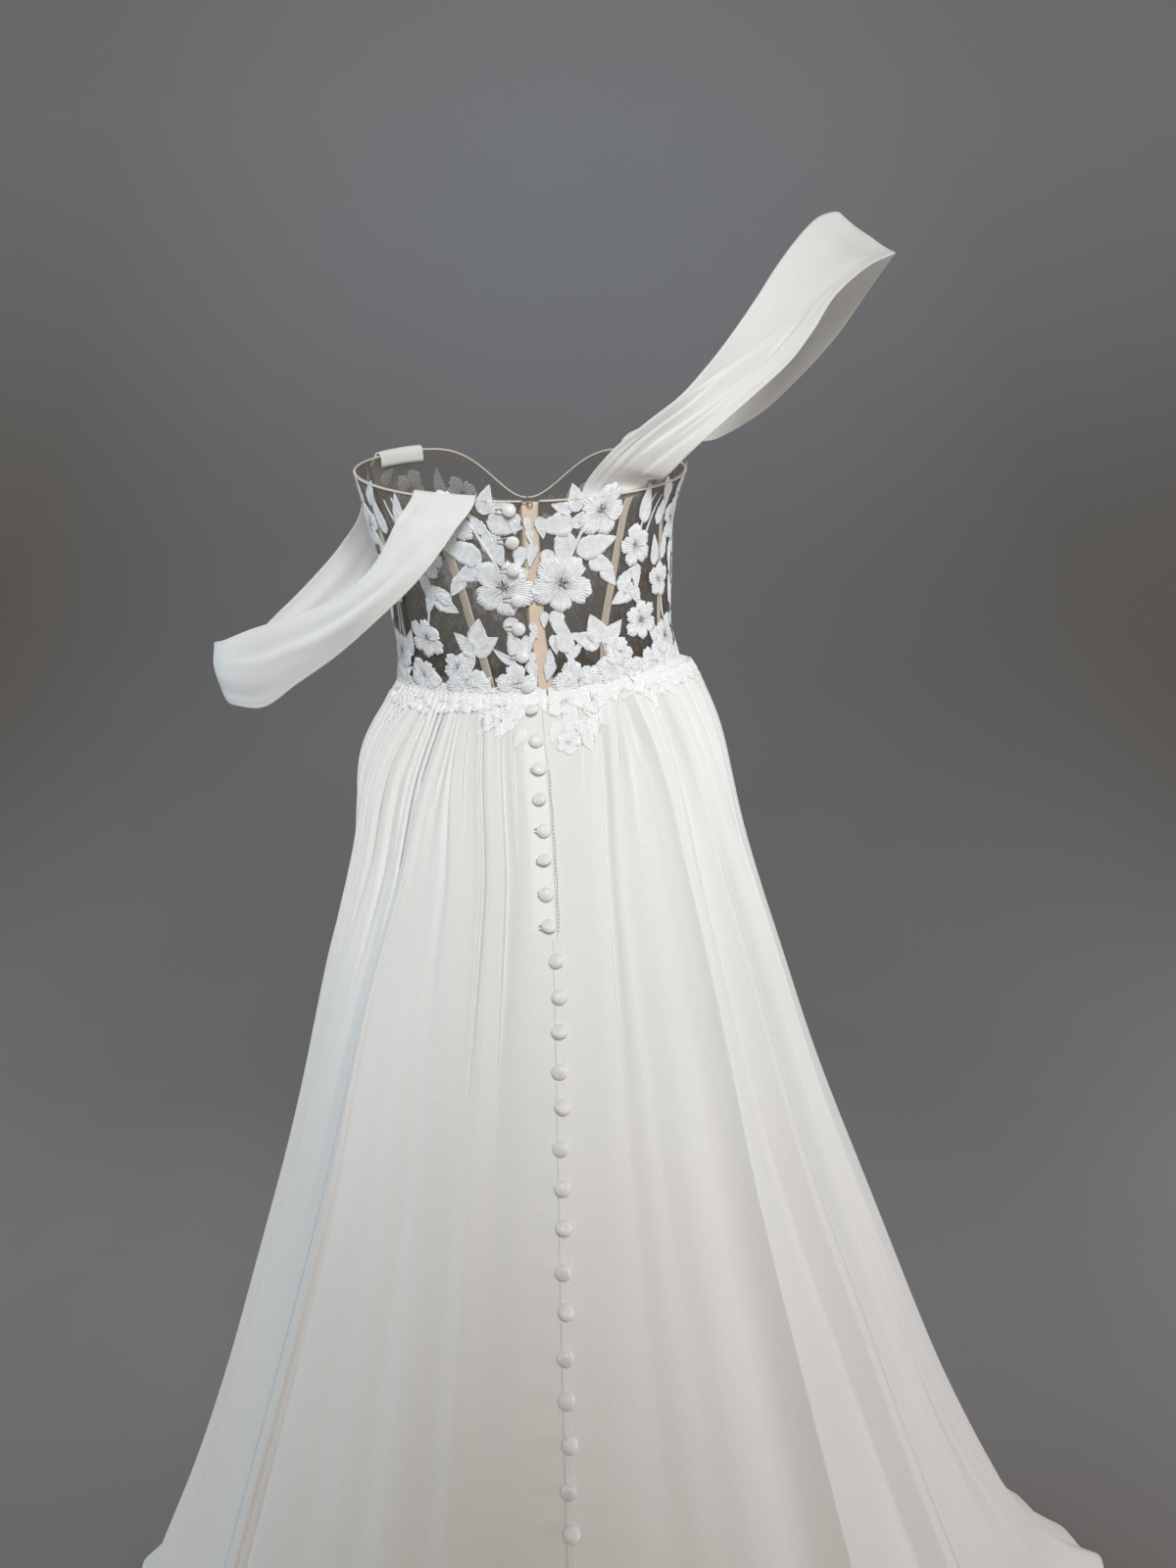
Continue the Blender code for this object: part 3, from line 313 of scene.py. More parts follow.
# Creases along the sleeves: share of the length where each starts and ends, place across the band
# (0 inner edge, 1 outer edge) at its start and end, height in mm (a trough is below 0), width towards the
# inner edge and towards the outer edge
SLEEVE_CREASES = {
    "sleeve_left": (
        (0.07, 0.46, 0.66, 0.22, -1.7, 0.12, 0.07),
        (0.05, 0.40, 0.84, 0.46, 1.1, 0.16, 0.10),
        (0.02, 0.20, 0.16, 0.02, -1.0, 0.05, 0.05),
        (0.26, 0.50, 0.62, 0.40, -0.8, 0.12, 0.10),
        (0.34, 0.52, 0.84, 0.80, -0.8, 0.10, 0.08),
        (0.52, 0.80, 0.55, 0.62, 1.2, 0.12, 0.12),
        (0.55, 0.98, 0.25, 0.42, -2.4, 0.11, 0.11),
        (0.62, 0.99, 0.75, 0.60, -1.8, 0.10, 0.10),
    ),
    "sleeve_right": (
        (0.14, 0.44, 0.02, 1.00, 1.6, 0.22, 0.016),
        (0.16, 0.43, 0.10, 1.04, 0.9, 0.06, 0.014),
        (0.03, 0.42, 0.34, 0.90, 2.0, 0.16, 0.020),
        (0.10, 0.36, 0.60, 0.76, 1.3, 0.08, 0.016),
        (0.02, 0.24, 0.14, 0.32, 1.2, 0.10, 0.025),
        (0.02, 0.30, 0.62, 0.98, 1.6, 0.12, 0.030),
        (0.00, 0.10, 0.10, 0.16, -1.0, 0.03, 0.03),
        (0.00, 0.09, 0.24, 0.30, -0.9, 0.03, 0.03),
        (0.30, 0.47, 0.86, 1.00, 0.8, 0.06, 0.020),
        (0.34, 0.49, 0.80, 0.94, 0.7, 0.06, 0.020),
        (0.58, 0.99, 0.30, 0.55, -2.6, 0.10, 0.10),
        (0.62, 0.99, 0.80, 0.70, -2.0, 0.09, 0.09),
    ),
}


# ---------------------------------------------------------------- curves through table rows

def column(table, index):
    """One named column of a table as an array."""
    return np.array([row[index] for row in table])


def smooth(places, knots, values):
    """A smooth curve through the values at the knots, read at the places."""
    knots = np.asarray(knots, float)
    values = np.asarray(values, float)
    slopes = np.gradient(values, knots)
    steps = np.diff(values) / np.diff(knots)
    flat = np.zeros(len(knots), bool)
    flat[1:-1] = steps[:-1] * steps[1:] <= 0.0
    slopes[flat] = 0.0
    places = np.clip(places, knots[0], knots[-1])
    index = np.clip(np.searchsorted(knots, places, side="right") - 1, 0, len(knots) - 2)
    width = knots[index + 1] - knots[index]
    t = (places - knots[index]) / width
    return (values[index] * (2 * t**3 - 3 * t**2 + 1) + values[index + 1] * (3 * t**2 - 2 * t**3)
            + width * slopes[index] * (t**3 - 2 * t**2 + t) + width * slopes[index + 1] * (t**3 - t**2))


def ease(value, low, high):
    """0 below low, 1 above high, and a smooth step between."""
    t = np.clip((value - low) / (high - low), 0.0, 1.0)
    return t * t * (3.0 - 2.0 * t)


def unit(vectors):
    """Vectors of length 1."""
    return vectors / np.maximum(np.linalg.norm(vectors, axis=-1, keepdims=True), 1e-12)


def paired(*parts):
    """Arrays spread to one shape and put together along a new last axis."""
    return np.stack(np.broadcast_arrays(*parts), -1)


def as_floats(*values):
    """Numbers or arrays as arrays of one shape."""
    return np.broadcast_arrays(*(np.asarray(value, float) for value in values))


def run_length(line):
    """Length along a line up to each of its points."""
    return np.concatenate([[0.0], np.cumsum(np.linalg.norm(np.diff(line, axis=0), axis=1))])


def log_depth(fraction):
    """Depth down the skirt on a scale that is finer near the waist."""
    return np.log1p(8.0 * np.asarray(fraction, float)) / math.log(9.0)


# ---------------------------------------------------------------- skirt surface

def waist_height(angle):
    """Height of the waist seam: it dips at the centre back and rises to the right side."""
    turn = np.radians(angle)
    return WAIST_RISE_AT_SIDES * np.sin(turn)**2 - WAIST_TILT * np.sin(turn)


def ringed(values, turn):
    """A row of values round the ring, with its neighbours past both ends."""
    return np.concatenate([values[-2:] - turn, values, values[:2] + turn])


def grain_table():
    """Hem angles of the grain lines and, for each station, their angles there."""
    hem = ringed(column(GRAIN_LINES, 0), 360.0)
    stations = [ringed(column(GRAIN_LINES, index), 360.0) for index in range(1, len(GRAIN_STATIONS) + 1)]
    return hem, np.array(stations + [hem])


GRAIN_HEM, GRAIN_ANGLES = grain_table()
GRAIN_DEPTHS = log_depth(np.array(GRAIN_STATIONS + (1.0,)))


def grain_angles(depth):
    """Angles of all grain lines at one depth."""
    return np.array([smooth(depth, GRAIN_DEPTHS, GRAIN_ANGLES[:, line]) for line in range(len(GRAIN_HEM))])


DEPTH_STEPS = np.linspace(0.0, 1.0, 241)
GRAIN_ROWS = np.array([grain_angles(depth) for depth in DEPTH_STEPS])


def centred(angle):
    """An angle brought between -180 and 180."""
    return (np.asarray(angle, float) + 180.0) % 360.0 - 180.0


def grain_lookup(value, depth, forward):
    """Angle round the dress of a hem angle at a depth, or the other way."""
    value, depth = as_floats(value, depth)
    middle = centred(value)
    step = np.clip(depth, 0.0, 1.0) * (len(DEPTH_STEPS) - 1)
    lower = np.minimum(step.astype(int), len(DEPTH_STEPS) - 2)
    share = step - lower
    result = np.zeros(value.shape)
    for row in np.unique(lower):
        here = lower == row
        for offset, weight in ((0, 1.0 - share[here]), (1, share[here])):
            ring = GRAIN_ROWS[row + offset]
            pair = (GRAIN_HEM, ring) if forward else (ring, GRAIN_HEM)
            result[here] += weight * np.interp(middle[here], *pair)
    return result + (value - middle)


def envelope(angle, fraction):
    """Point of the skirt without folds."""
    places = column(SKIRT_SECTIONS, 0)
    middle_y, back_y, back_z, left_x, right_x, side_z, front_y, front_z = (
        smooth(fraction, places, column(SKIRT_SECTIONS, index)) for index in range(1, 9))
    across = np.sin(np.radians(angle))
    along = np.cos(np.radians(angle))
    x = np.where(across >= 0, left_x * across, -right_x * across)
    y = middle_y + np.where(along >= 0, (back_y - middle_y) * along, (middle_y - front_y) * along)
    z = side_z * across**2 + np.where(along >= 0, back_z, front_z) * along**2
    return np.stack([x, y, z + waist_height(angle) * (1.0 - fraction)], axis=-1)


def fold_weights(hem_angle):
    """Share of each fold edge in the rise at a hem angle, with rounded corners."""
    places = ringed(column(FOLD_EDGES, 0), 360.0)
    softness = ringed(column(FOLD_EDGES, 6), 0.0)
    flat = centred(hem_angle).ravel()
    radius = np.interp(flat, places, softness)
    count = len(FOLD_EDGES)
    weights = np.zeros((flat.size, count))
    offsets = np.linspace(-1.0, 1.0, 9)
    for offset in offsets:
        at = flat + offset * radius
        index = np.clip(np.searchsorted(places, at, side="right") - 1, 0, len(places) - 2)
        share = (at - places[index]) / (places[index + 1] - places[index])
        rows = np.arange(flat.size)
        weights[rows, (index - 2) % count] += (1.0 - share) / len(offsets)
        weights[rows, (index - 1) % count] += share / len(offsets)
    return weights


def fold_heights(fraction):
    """Rise of each fold edge at a fraction of the length."""
    flat = np.asarray(fraction, float).ravel()
    knots = np.concatenate([[0.0], log_depth(np.array(FOLD_STATIONS))])
    depth = log_depth(flat)
    heights = np.zeros((flat.size, len(FOLD_EDGES)))
    for number, row in enumerate(FOLD_EDGES):
        values = np.concatenate([[0.0], np.array(row[1:6]) * MM])
        wander = 1.0 + 0.12 * np.sin(9.0 * depth + 2.3 * number) * ease(flat, 0.05, 0.2)
        heights[:, number] = smooth(depth, knots, values) * wander
    return heights


# Small creases below the waist seam, each a ridge that rises slowly from its left and drops at its right:
# angle at the waist, reach down the length, height of the ridge, depth beside it, widths to the left and
# to the right (mm)
WAIST_CREASES = (
    (65.0, 0.10, 1.6, 2.2, 4.0, 2.4),
    (61.5, 0.15, 2.0, 2.6, 4.5, 2.4),
    (58.0, 0.10, 1.8, 2.2, 3.5, 2.0),
    (55.0, 0.17, 2.2, 2.6, 4.5, 2.4),
    (51.5, 0.12, 2.0, 2.4, 4.0, 2.2),
    (48.5, 0.16, 2.0, 2.6, 4.5, 2.4),
    (45.2, 0.22, 2.2, 2.6, 4.5, 2.4),
    (42.0, 0.10, 1.8, 2.4, 4.0, 2.2),
    (39.4, 0.14, 2.0, 2.4, 4.0, 2.2),
    (36.6, 0.07, 1.4, 1.8, 3.0, 1.8),
    (31.0, 0.08, 1.8, 2.2, 4.0, 2.2),
    (27.6, 0.05, 1.2, 1.6, 3.0, 1.8),
    (24.4, 0.09, 1.8, 2.2, 4.0, 2.0),
    (19.8, 0.22, 2.8, 2.6, 6.0, 3.0),
    (16.4, 0.04, 1.0, 1.4, 2.4, 1.6),
    (13.2, 0.21, 3.0, 2.8, 6.0, 4.0),
    (9.2, 0.09, 1.4, 1.6, 4.0, 3.0),
    (-13.4, 0.06, 1.2, 1.4, 3.5, 2.0),
    (-17.8, 0.05, 1.2, 1.4, 3.0, 2.0),
    (-20.3, 0.20, 1.6, 2.4, 6.0, 4.0),
    (-26.6, 0.05, 1.8, 2.4, 3.0, 3.4),
    (-28.6, 0.10, 1.4, 1.8, 3.0, 2.0),
    (-30.8, 0.05, 1.6, 2.2, 3.0, 3.4),
    (-36.0, 0.06, 1.4, 1.8, 3.0, 2.4),
    (-40.0, 0.05, 1.6, 2.0, 3.4, 2.4),
    (-43.2, 0.10, 1.8, 2.4, 3.5, 2.4),
    (-47.4, 0.06, 1.4, 2.0, 3.0, 2.4),
    (-51.0, 0.12, 2.0, 2.4, 3.5, 2.4),
    (-56.0, 0.09, 1.8, 2.4, 3.4, 2.4),
    (-62.5, 0.13, 2.0, 2.4, 3.5, 2.4),
    (-66.5, 0.10, 1.8, 2.4, 3.4, 2.4),
)
# The gathers start above the seam, and stand out and reach down more than the table gives
GATHER_START = -0.3
GATHER_RISE = 1.35
GATHER_REACH = 1.2
# Long creases: angle at the hem, fractions where each starts and ends, then height, depth and widths
LONG_CREASES = (
    (55.4, 0.01, 1.00, 1.0, 1.8, 6.0, 2.0),
    (54.0, 0.32, 1.00, -1.8, 1.8, 1.8, 2.4),
    (76.0, 0.02, 0.90, 1.0, 1.8, 5.0, 2.0),
    (79.8, 0.02, 0.30, 2.0, 2.6, 4.0, 2.6),
    (84.4, 0.02, 0.30, 1.4, 2.2, 4.0, 2.2),
    (90.0, 0.02, 0.22, 2.0, 2.6, 4.0, 2.6),
    (-45.7, 0.01, 1.00, 2.0, 2.2, 6.0, 1.8),
    (-50.5, 0.05, 0.26, 1.2, 1.2, 4.0, 3.0),
    (-59.8, 0.08, 0.34, -2.0, 2.0, 1.6, 1.8),
    (-63.3, 0.01, 1.00, 2.2, 2.4, 4.5, 1.8),
    (-59.2, 0.38, 1.00, -1.8, 1.8, 1.6, 2.4),
    (-74.0, 0.02, 0.20, 1.6, 2.0, 4.0, 2.4),
    (-83.8, 0.01, 1.00, 1.8, 2.2, 5.0, 1.8),
    (-86.8, 0.42, 1.00, -1.6, 1.6, 1.6, 2.4),
    (-91.5, 0.36, 0.95, 1.8, 2.0, 4.0, 1.8),
    (-96.5, 0.50, 1.00, 1.8, 2.0, 4.0, 1.8),
    (-120.0, 0.02, 0.80, 1.8, 2.2, 6.0, 2.4),
    (-143.0, 0.02, 1.00, 1.8, 2.2, 6.0, 2.4),
    (-160.0, 0.05, 0.70, 1.8, 2.0, 6.0, 2.4),
    (172.0, 0.02, 0.90, 1.8, 2.0, 6.0, 2.4),
    (156.0, 0.05, 0.60, 1.8, 2.0, 6.0, 2.4),
    (138.0, 0.02, 1.00, 1.8, 2.2, 6.0, 2.4),
    (114.0, 0.02, 0.80, 1.8, 2.2, 6.0, 2.4),
    (95.0, 0.05, 1.00, 1.8, 2.2, 6.0, 2.4),
)


def crease_table():
    """Every crease: hem angle, start and end fractions, height, depth, widths and the reach of its spread."""
    random = np.random.default_rng(7)
    rows = []
    shallow = float(log_depth(0.02))
    waist = list(WAIST_CREASES)
    angle = 69.0
    while angle < 290.0:
        waist.append((angle, random.uniform(0.06, 0.20), random.uniform(1.4, 2.4), random.uniform(1.8, 2.8),
                      random.uniform(3.0, 5.5), random.uniform(2.0, 3.4)))
        angle += random.uniform(3.2, 5.2)
    for angle, reach, high, low, left, right in waist:
        hem_angle = float(grain_lookup(angle, shallow, False))
        rows.append((hem_angle, GATHER_START, GATHER_REACH * reach, GATHER_RISE * high, GATHER_RISE * low,
                     left, right, reach))
    for hem_angle, start, end, high, low, left, right in LONG_CREASES:
        rows.append((hem_angle, start, end, high, low, left, right, 2.0))
    return rows


CREASES = crease_table()
CREASE_PATHS = np.array([[np.interp(float(centred(row[0])), GRAIN_HEM, ring) for ring in GRAIN_ROWS]
                         for row in CREASES])


def crease_rise(angle, fraction):
    """Rise of the creases: a slow rise up to each line, a sharp drop at it and a hollow beside it."""
    depth_scale = log_depth(fraction)
    rise = np.zeros(np.broadcast(angle, fraction).shape)
    metres = np.radians(0.115 + 0.42 * fraction)
    seam = 0.20 + 0.80 * ease(fraction, 0.0, 0.012)
    for row, path in zip(CREASES, CREASE_PATHS):
        _, start, end, high, low, left, right, reach = row
        distance = centred(angle - np.interp(depth_scale, DEPTH_STEPS, path)) * metres / MM
        near = np.abs(distance) < 45.0
        if not near.any():
            continue
        span = min(end - start, reach)
        fade = ease(fraction, start, start + 0.25 * span) * (1.0 - ease(fraction, end - 0.65 * span, end))
        spread = 1.0 + np.minimum(fraction / reach, 1.5)
        step = 0.5 + 0.5 * np.tanh(distance / (0.35 + 1.4 * fraction))
        ridge = high * step * np.exp(-np.maximum(distance, 0.0) / (left * spread))
        hollow = low * (1.0 - step) * np.exp(-np.maximum(-distance, 0.0) / (right * spread))
        rise += np.where(near, (ridge - hollow) * fade * MM, 0.0)
    return rise * seam


def ripple(angle, fraction):
    """Soft unevenness of the cloth, a few tenths of a millimetre to two millimetres."""
    x = np.radians(angle)
    wide = np.sin(5.0 * x + 14.0 * fraction) * np.sin(3.0 * x - 9.0 * fraction + 1.0)
    fine = np.sin(23.0 * x + 6.0 * np.sin(5.0 * fraction + 2.0 * x)) * np.sin(7.0 * fraction + 4.0 * x)
    return (1.1 * wide + 0.35 * fine) * MM * ease(fraction, 0.08, 0.5)


def outward_of(angle, fraction):
    """Outward direction of the skirt without folds."""
    around = envelope(angle + 0.5, fraction) - envelope(angle - 0.5, fraction)
    lower = envelope(angle, np.minimum(fraction + 0.004, 1.0))
    upper = envelope(angle, np.maximum(fraction - 0.004, 0.0))
    outward = unit(-np.cross(around, lower - upper))
    turn = np.radians(angle)
    facing = paired(np.sin(turn), np.cos(turn), 0.7)
    return outward * np.sign(np.sum(outward * facing, -1))[..., None]


def skirt_raised(angle, fraction, rise):
    """Point of the skirt with a rise on its plain form, kept on the floor."""
    point = envelope(angle, fraction) + outward_of(angle, fraction) * rise[..., None]
    point[..., 2] = np.maximum(point[..., 2], FLOOR_LEVEL)
    return point


def skirt_grid(hem_angles, fractions):
    """Points of the folded skirt on a grid of hem angles and fractions."""
    columns, rows = np.meshgrid(hem_angles, fractions)
    angle = grain_lookup(columns, log_depth(rows), True)
    folds = fold_heights(fractions) @ fold_weights(np.asarray(hem_angles)).T
    rise = folds + crease_rise(angle, rows) + ripple(angle, rows)
    return skirt_raised(angle, rows, rise), angle


def skirt_at(angle, fraction):
    """Points of the folded skirt at angles round the dress."""
    angle, fraction = as_floats(angle, fraction)
    hem_angle = grain_lookup(angle, log_depth(fraction), False)
    folds = np.sum(fold_heights(fraction) * fold_weights(hem_angle), axis=1).reshape(angle.shape)
    rise = folds + crease_rise(angle, fraction) + ripple(angle, fraction)
    return skirt_raised(angle, fraction, rise)


def skirt_placed(angle, fraction):
    """Points of the folded skirt and its true outward directions there."""
    small_angle = 0.15
    small_fraction = 0.0012
    low = np.maximum(fraction - small_fraction, 0.0)
    around = skirt_at(angle + small_angle, fraction) - skirt_at(angle - small_angle, fraction)
    down = skirt_at(angle, fraction + small_fraction) - skirt_at(angle, low)
    outward = unit(-np.cross(around, down))
    side = np.sign(np.sum(outward * outward_of(angle, fraction), -1))[..., None]
    return skirt_at(angle, fraction), outward * side


# ---------------------------------------------------------------- bodice surface

def top_edge(angle):
    """Height of the bodice's top edge: low at the back, with a sweetheart neck at the front."""
    turn = np.radians(angle)
    from_front = 180.0 - np.abs(centred(angle))
    dip = NECK_DIP * np.exp(-(from_front / NECK_DIP_ANGLE)**2)
    return TOP_EDGE_AT_BACK + TOP_EDGE_RISE * (1.0 - np.cos(turn)) - dip


def bodice_shape(angle, share):
    """Point of the bodice; share is 0 at the waist seam and 1 at the top edge."""
    angle = angle + BACK_LINE_LEAN * share * np.cos(np.radians(angle) / 2.0)**2
    low = waist_height(angle) + SEAM_GAP + BODICE_WALL / 2.0
    height = low + (top_edge(angle) - low) * share
    places = column(BODICE_SECTIONS, 0)
    middle_x, half_width, back_depth, front_depth = (
        smooth(height, places, column(BODICE_SECTIONS, index)) for index in range(1, 5))
    across = np.sin(np.radians(angle))
    along = np.cos(np.radians(angle))
    x = middle_x + half_width * across
    y = np.where(along >= 0, back_depth, front_depth) * along
    from_cup = (np.abs(x - middle_x) - CUP_SPACING)**2 + (height - CUP_HEIGHT)**2
    cup = CUP_DEPTH * np.exp(-from_cup / (2.0 * CUP_RADIUS**2))
    y = y - np.where(along < 0, cup * -along, 0.0)
    return np.stack([x, y, height], axis=-1)


def bodice_placed(angle, share):
    """Points of the bodice and its outward directions there."""
    angle, share = as_floats(angle, share)
    around = bodice_shape(angle + 0.5, share) - bodice_shape(angle - 0.5, share)
    up = bodice_shape(angle, share + 0.01) - bodice_shape(angle, share - 0.01)
    return bodice_shape(angle, share), unit(np.cross(up, around))


def bodice_lifted(angle, share, lift):
    """Points of the bodice moved out by a lift."""
    point, outward = bodice_placed(angle, share)
    return point + outward * np.asarray(lift, float)[..., None]


# ---------------------------------------------------------------- meshes

def grid_faces(rows, columns, start=0, flip=False):
    """Quads of a grid of rows and columns of points."""
    r, c = np.meshgrid(np.arange(rows - 1), np.arange(columns - 1), indexing="ij")
    corner = (start + r * columns + c).ravel()
    quads = np.stack([corner, corner + columns, corner + columns + 1, corner + 1], axis=-1)
    return quads[:, ::-1] if flip else quads


def add_mesh(name, points, faces, material, uv=None):
    """A smooth mesh object; uv holds one pair for each point."""
    mesh = bpy.data.meshes.new(name)
    mesh.from_pydata(np.asarray(points, float).tolist(), [], faces)
    if uv is not None:
        layer = mesh.uv_layers.new(name="cloth")
        corners = np.zeros(len(mesh.loops), np.int32)
        mesh.loops.foreach_get("vertex_index", corners)
        layer.data.foreach_set("uv", np.asarray(uv, np.float32)[corners].ravel())
    mesh.materials.append(material)
    mesh.shade_smooth()
    mesh.update()
    thing = bpy.data.objects.new(name, mesh)
    bpy.context.scene.collection.objects.link(thing)
    return thing


def grid_object(name, points, material, uv=None, flip=False):
    """An object from a grid of points (rows, columns, 3)."""
    rows, columns = points.shape[:2]
    faces = grid_faces(rows, columns, flip=flip)
    flat_uv = None if uv is None else uv.reshape(-1, 2)
    return add_mesh(name, points.reshape(-1, 3), faces.tolist(), material, flat_uv)


def thicken(thing, wall, offset=0.0):
    """Give a cloth its thickness."""
    modifier = thing.modifiers.new("wall", "SOLIDIFY")
    modifier.thickness = wall
    modifier.offset = offset
    modifier.use_rim = True
    return thing


def settle(thing, replaced=()):
    """A finished piece: it rides on the dress and stands for its frame nodes."""
    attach(thing, "root")
    if replaced:
        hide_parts(*replaced)
    return thing


class Pile:
    """Many small shapes gathered into one mesh."""

    def __init__(self):
        self.points = []
        self.faces = []
        self.uv = []
        self.count = 0

    def add(self, points, faces, uv=None):
        """Put in one shape: its points, faces and uv."""
        points = np.asarray(points, float).reshape(-1, 3)
        self.points.append(points)
        self.faces += [[index + self.count for index in face] for face in faces]
        self.uv.append(np.zeros((len(points), 2)) if uv is None else np.asarray(uv).reshape(-1, 2))
        self.count += len(points)

    def laid(self, surface):
        """Take the points as two surface coordinates and a lift, and lay them on that surface."""
        flat = np.concatenate(self.points)
        self.points = [surface(flat[:, 0], flat[:, 1], flat[:, 2])]
        return self

    def build(self, name, material):
        """The joined object."""
        return add_mesh(name, np.concatenate(self.points), self.faces, material, np.concatenate(self.uv))


def ring_faces(rows, sides, flip=False):
    """Quads between rings of points."""
    faces = []
    for row in range(rows - 1):
        for place in range(sides):
            after = (place + 1) % sides
            low, high = row * sides, (row + 1) * sides
            quad = (low + place, low + after, high + after, high + place)
            faces.append(quad[:1] + quad[:0:-1] if flip else quad)
    return faces


def tube(path, radius, sides=6, closed_ends=True):
    """Points, faces and uv of a tube along a path; radius may vary along it."""
    path = np.asarray(path, float)
    count = len(path)
    radius = np.broadcast_to(np.asarray(radius, float), (count,))
    along = unit(np.gradient(path, axis=0))
    guide = np.array((0.31, 0.87, 0.38))
    side = unit(np.cross(along, guide))
    up = np.cross(along, side)
    turn = np.arange(sides) * 2.0 * math.pi / sides
    ring = (side[:, None] * np.cos(turn)[None, :, None] + up[:, None] * np.sin(turn)[None, :, None])
    points = path[:, None] + ring * radius[:, None, None]
    length = run_length(path)
    uv = paired(length[:, None], (turn / (2.0 * math.pi))[None, :])
    faces = ring_faces(count, sides)
    points = points.reshape(-1, 3)
    uv = uv.reshape(-1, 2)
    if closed_ends:
        points = np.concatenate([points, path[:1], path[-1:]])
        uv = np.concatenate([uv, uv[:1], uv[-1:]])
        first = count * sides
        last = first + 1
        base = (count - 1) * sides
        for place in range(sides):
            after = (place + 1) % sides
            faces.append((first, after, place))
            faces.append((last, base + place, base + after))
    return points, faces, uv


# ---------------------------------------------------------------- materials

class Shader:
    """A small helper that wires a Principled material."""

    def __init__(self, name, **values):
        self.material = bpy.data.materials.new(name)
        self.material.use_nodes = True
        self.nodes = self.material.node_tree.nodes
        self.links = self.material.node_tree.links
        self.principled = self.nodes["Principled BSDF"]
        for socket, value in values.items():
            self.principled.inputs[socket.replace("_", " ")].default_value = value

    def node(self, kind, **inputs):
        """A new node; number keys are input places."""
        node = self.nodes.new(kind)
        for socket, value in inputs.items():
            self.wire(node, int(socket[1:]) if socket[0] == "i" and socket[1:].isdigit() else socket, value)
        return node

    def wire(self, node, socket, value):
        """Set an input to a number or link it to an output."""
        target = node.inputs[socket.replace("_", " ") if isinstance(socket, str) else socket]
        if isinstance(value, bpy.types.NodeSocket):
            self.links.new(value, target)
        else:
            target.default_value = value

    def math(self, operation, first, second=0.0):
        """The result of a Math node."""
        node = self.node("ShaderNodeMath", i0=first, i1=second)
        node.operation = operation
        return node.outputs[0]

    def coordinates(self, kind="Object"):
        """A coordinate output."""
        if not hasattr(self, "coordinate_node"):
            self.coordinate_node = self.nodes.new("ShaderNodeTexCoord")
        return self.coordinate_node.outputs[kind]

    def noise(self, vector, scale, detail=2.0, roughness=0.5):
        """A noise value between about 0 and 1."""
        node = self.node("ShaderNodeTexNoise", Vector=vector, Scale=scale, Detail=detail, Roughness=roughness)
        return node.outputs["Fac"]

    def ramp(self, value, low, high, first=0.0, second=1.0):
        """A smooth step of a value from first to second."""
        node = self.node("ShaderNodeMapRange", i0=value, i1=low, i2=high, i3=first, i4=second)
        node.interpolation_type = "SMOOTHSTEP"
        return node.outputs[0]

    def mix(self, share, first, second):
        """A mix of two colours."""
        node = self.nodes.new("ShaderNodeMix")
        node.data_type = "RGBA"
        self.wire(node, 0, share)
        self.wire(node, 6, first)
        self.wire(node, 7, second)
        return node.outputs[2]

    def bump(self, height, strength, distance, below=None):
        """A bump on the shader's normal, over an earlier one."""
        node = self.node("ShaderNodeBump", Height=height, Strength=strength, Distance=distance)
        if below is not None:
            self.links.new(below, node.inputs["Normal"])
        self.links.new(node.outputs[0], self.principled.inputs["Normal"])
        return node.outputs[0]

    def set(self, socket, value):
        """Link an input of the shader."""
        self.links.new(value, self.principled.inputs[socket])


def crepe_material(name, colour, shade):
    """Ivory crepe: a matt cloth with a fine pebbled grain and a soft sheen."""
    shader = Shader(name, Roughness=0.58, Sheen_Weight=0.22, Sheen_Roughness=0.38, Specular_IOR_Level=0.32)
    place = shader.coordinates()
    cloudy = shader.noise(place, 5.0, 3.0)
    mottled = shader.noise(place, 240.0, 3.0, 0.6)
    grain = shader.noise(place, 1500.0, 2.0, 0.7)
    pebble = shader.noise(place, 620.0, 2.0, 0.6)
    tone = shader.math("ADD", shader.math("MULTIPLY", cloudy, 0.55), shader.math("MULTIPLY", mottled, 0.45))
    shader.set("Base Color", shader.mix(shader.ramp(tone, 0.34, 0.66), shade, colour))
    shader.set("Roughness", shader.ramp(mottled, 0.3, 0.7, 0.5, 0.64))
    below = shader.bump(pebble, 0.16, 0.0006)
    shader.bump(grain, 0.22, 0.0003, below)
    return shader.material


def embroidery(name, pitch):
    """Wavy threads along petals and leaves: shader, place, threads, across them, u and v, and relief."""
    shader = Shader(name, Roughness=0.62, Sheen_Weight=0.2, Sheen_Roughness=0.4, Specular_IOR_Level=0.35)
    place = shader.coordinates()
    parts = shader.node("ShaderNodeSeparateXYZ", Vector=shader.coordinates("UV"))
    drift = shader.math("MULTIPLY", shader.noise(place, 260.0, 2.0), 2.4)
    across = shader.math("ADD", parts.outputs[0], drift)
    thread = shader.math("SINE", shader.math("MULTIPLY", across, 2.0 * math.pi / pitch))
    fuzz = shader.noise(place, 900.0, 2.0, 0.7)
    height = shader.math("ADD", thread, shader.math("MULTIPLY", fuzz, 1.2))
    return shader, place, thread, across, parts, height


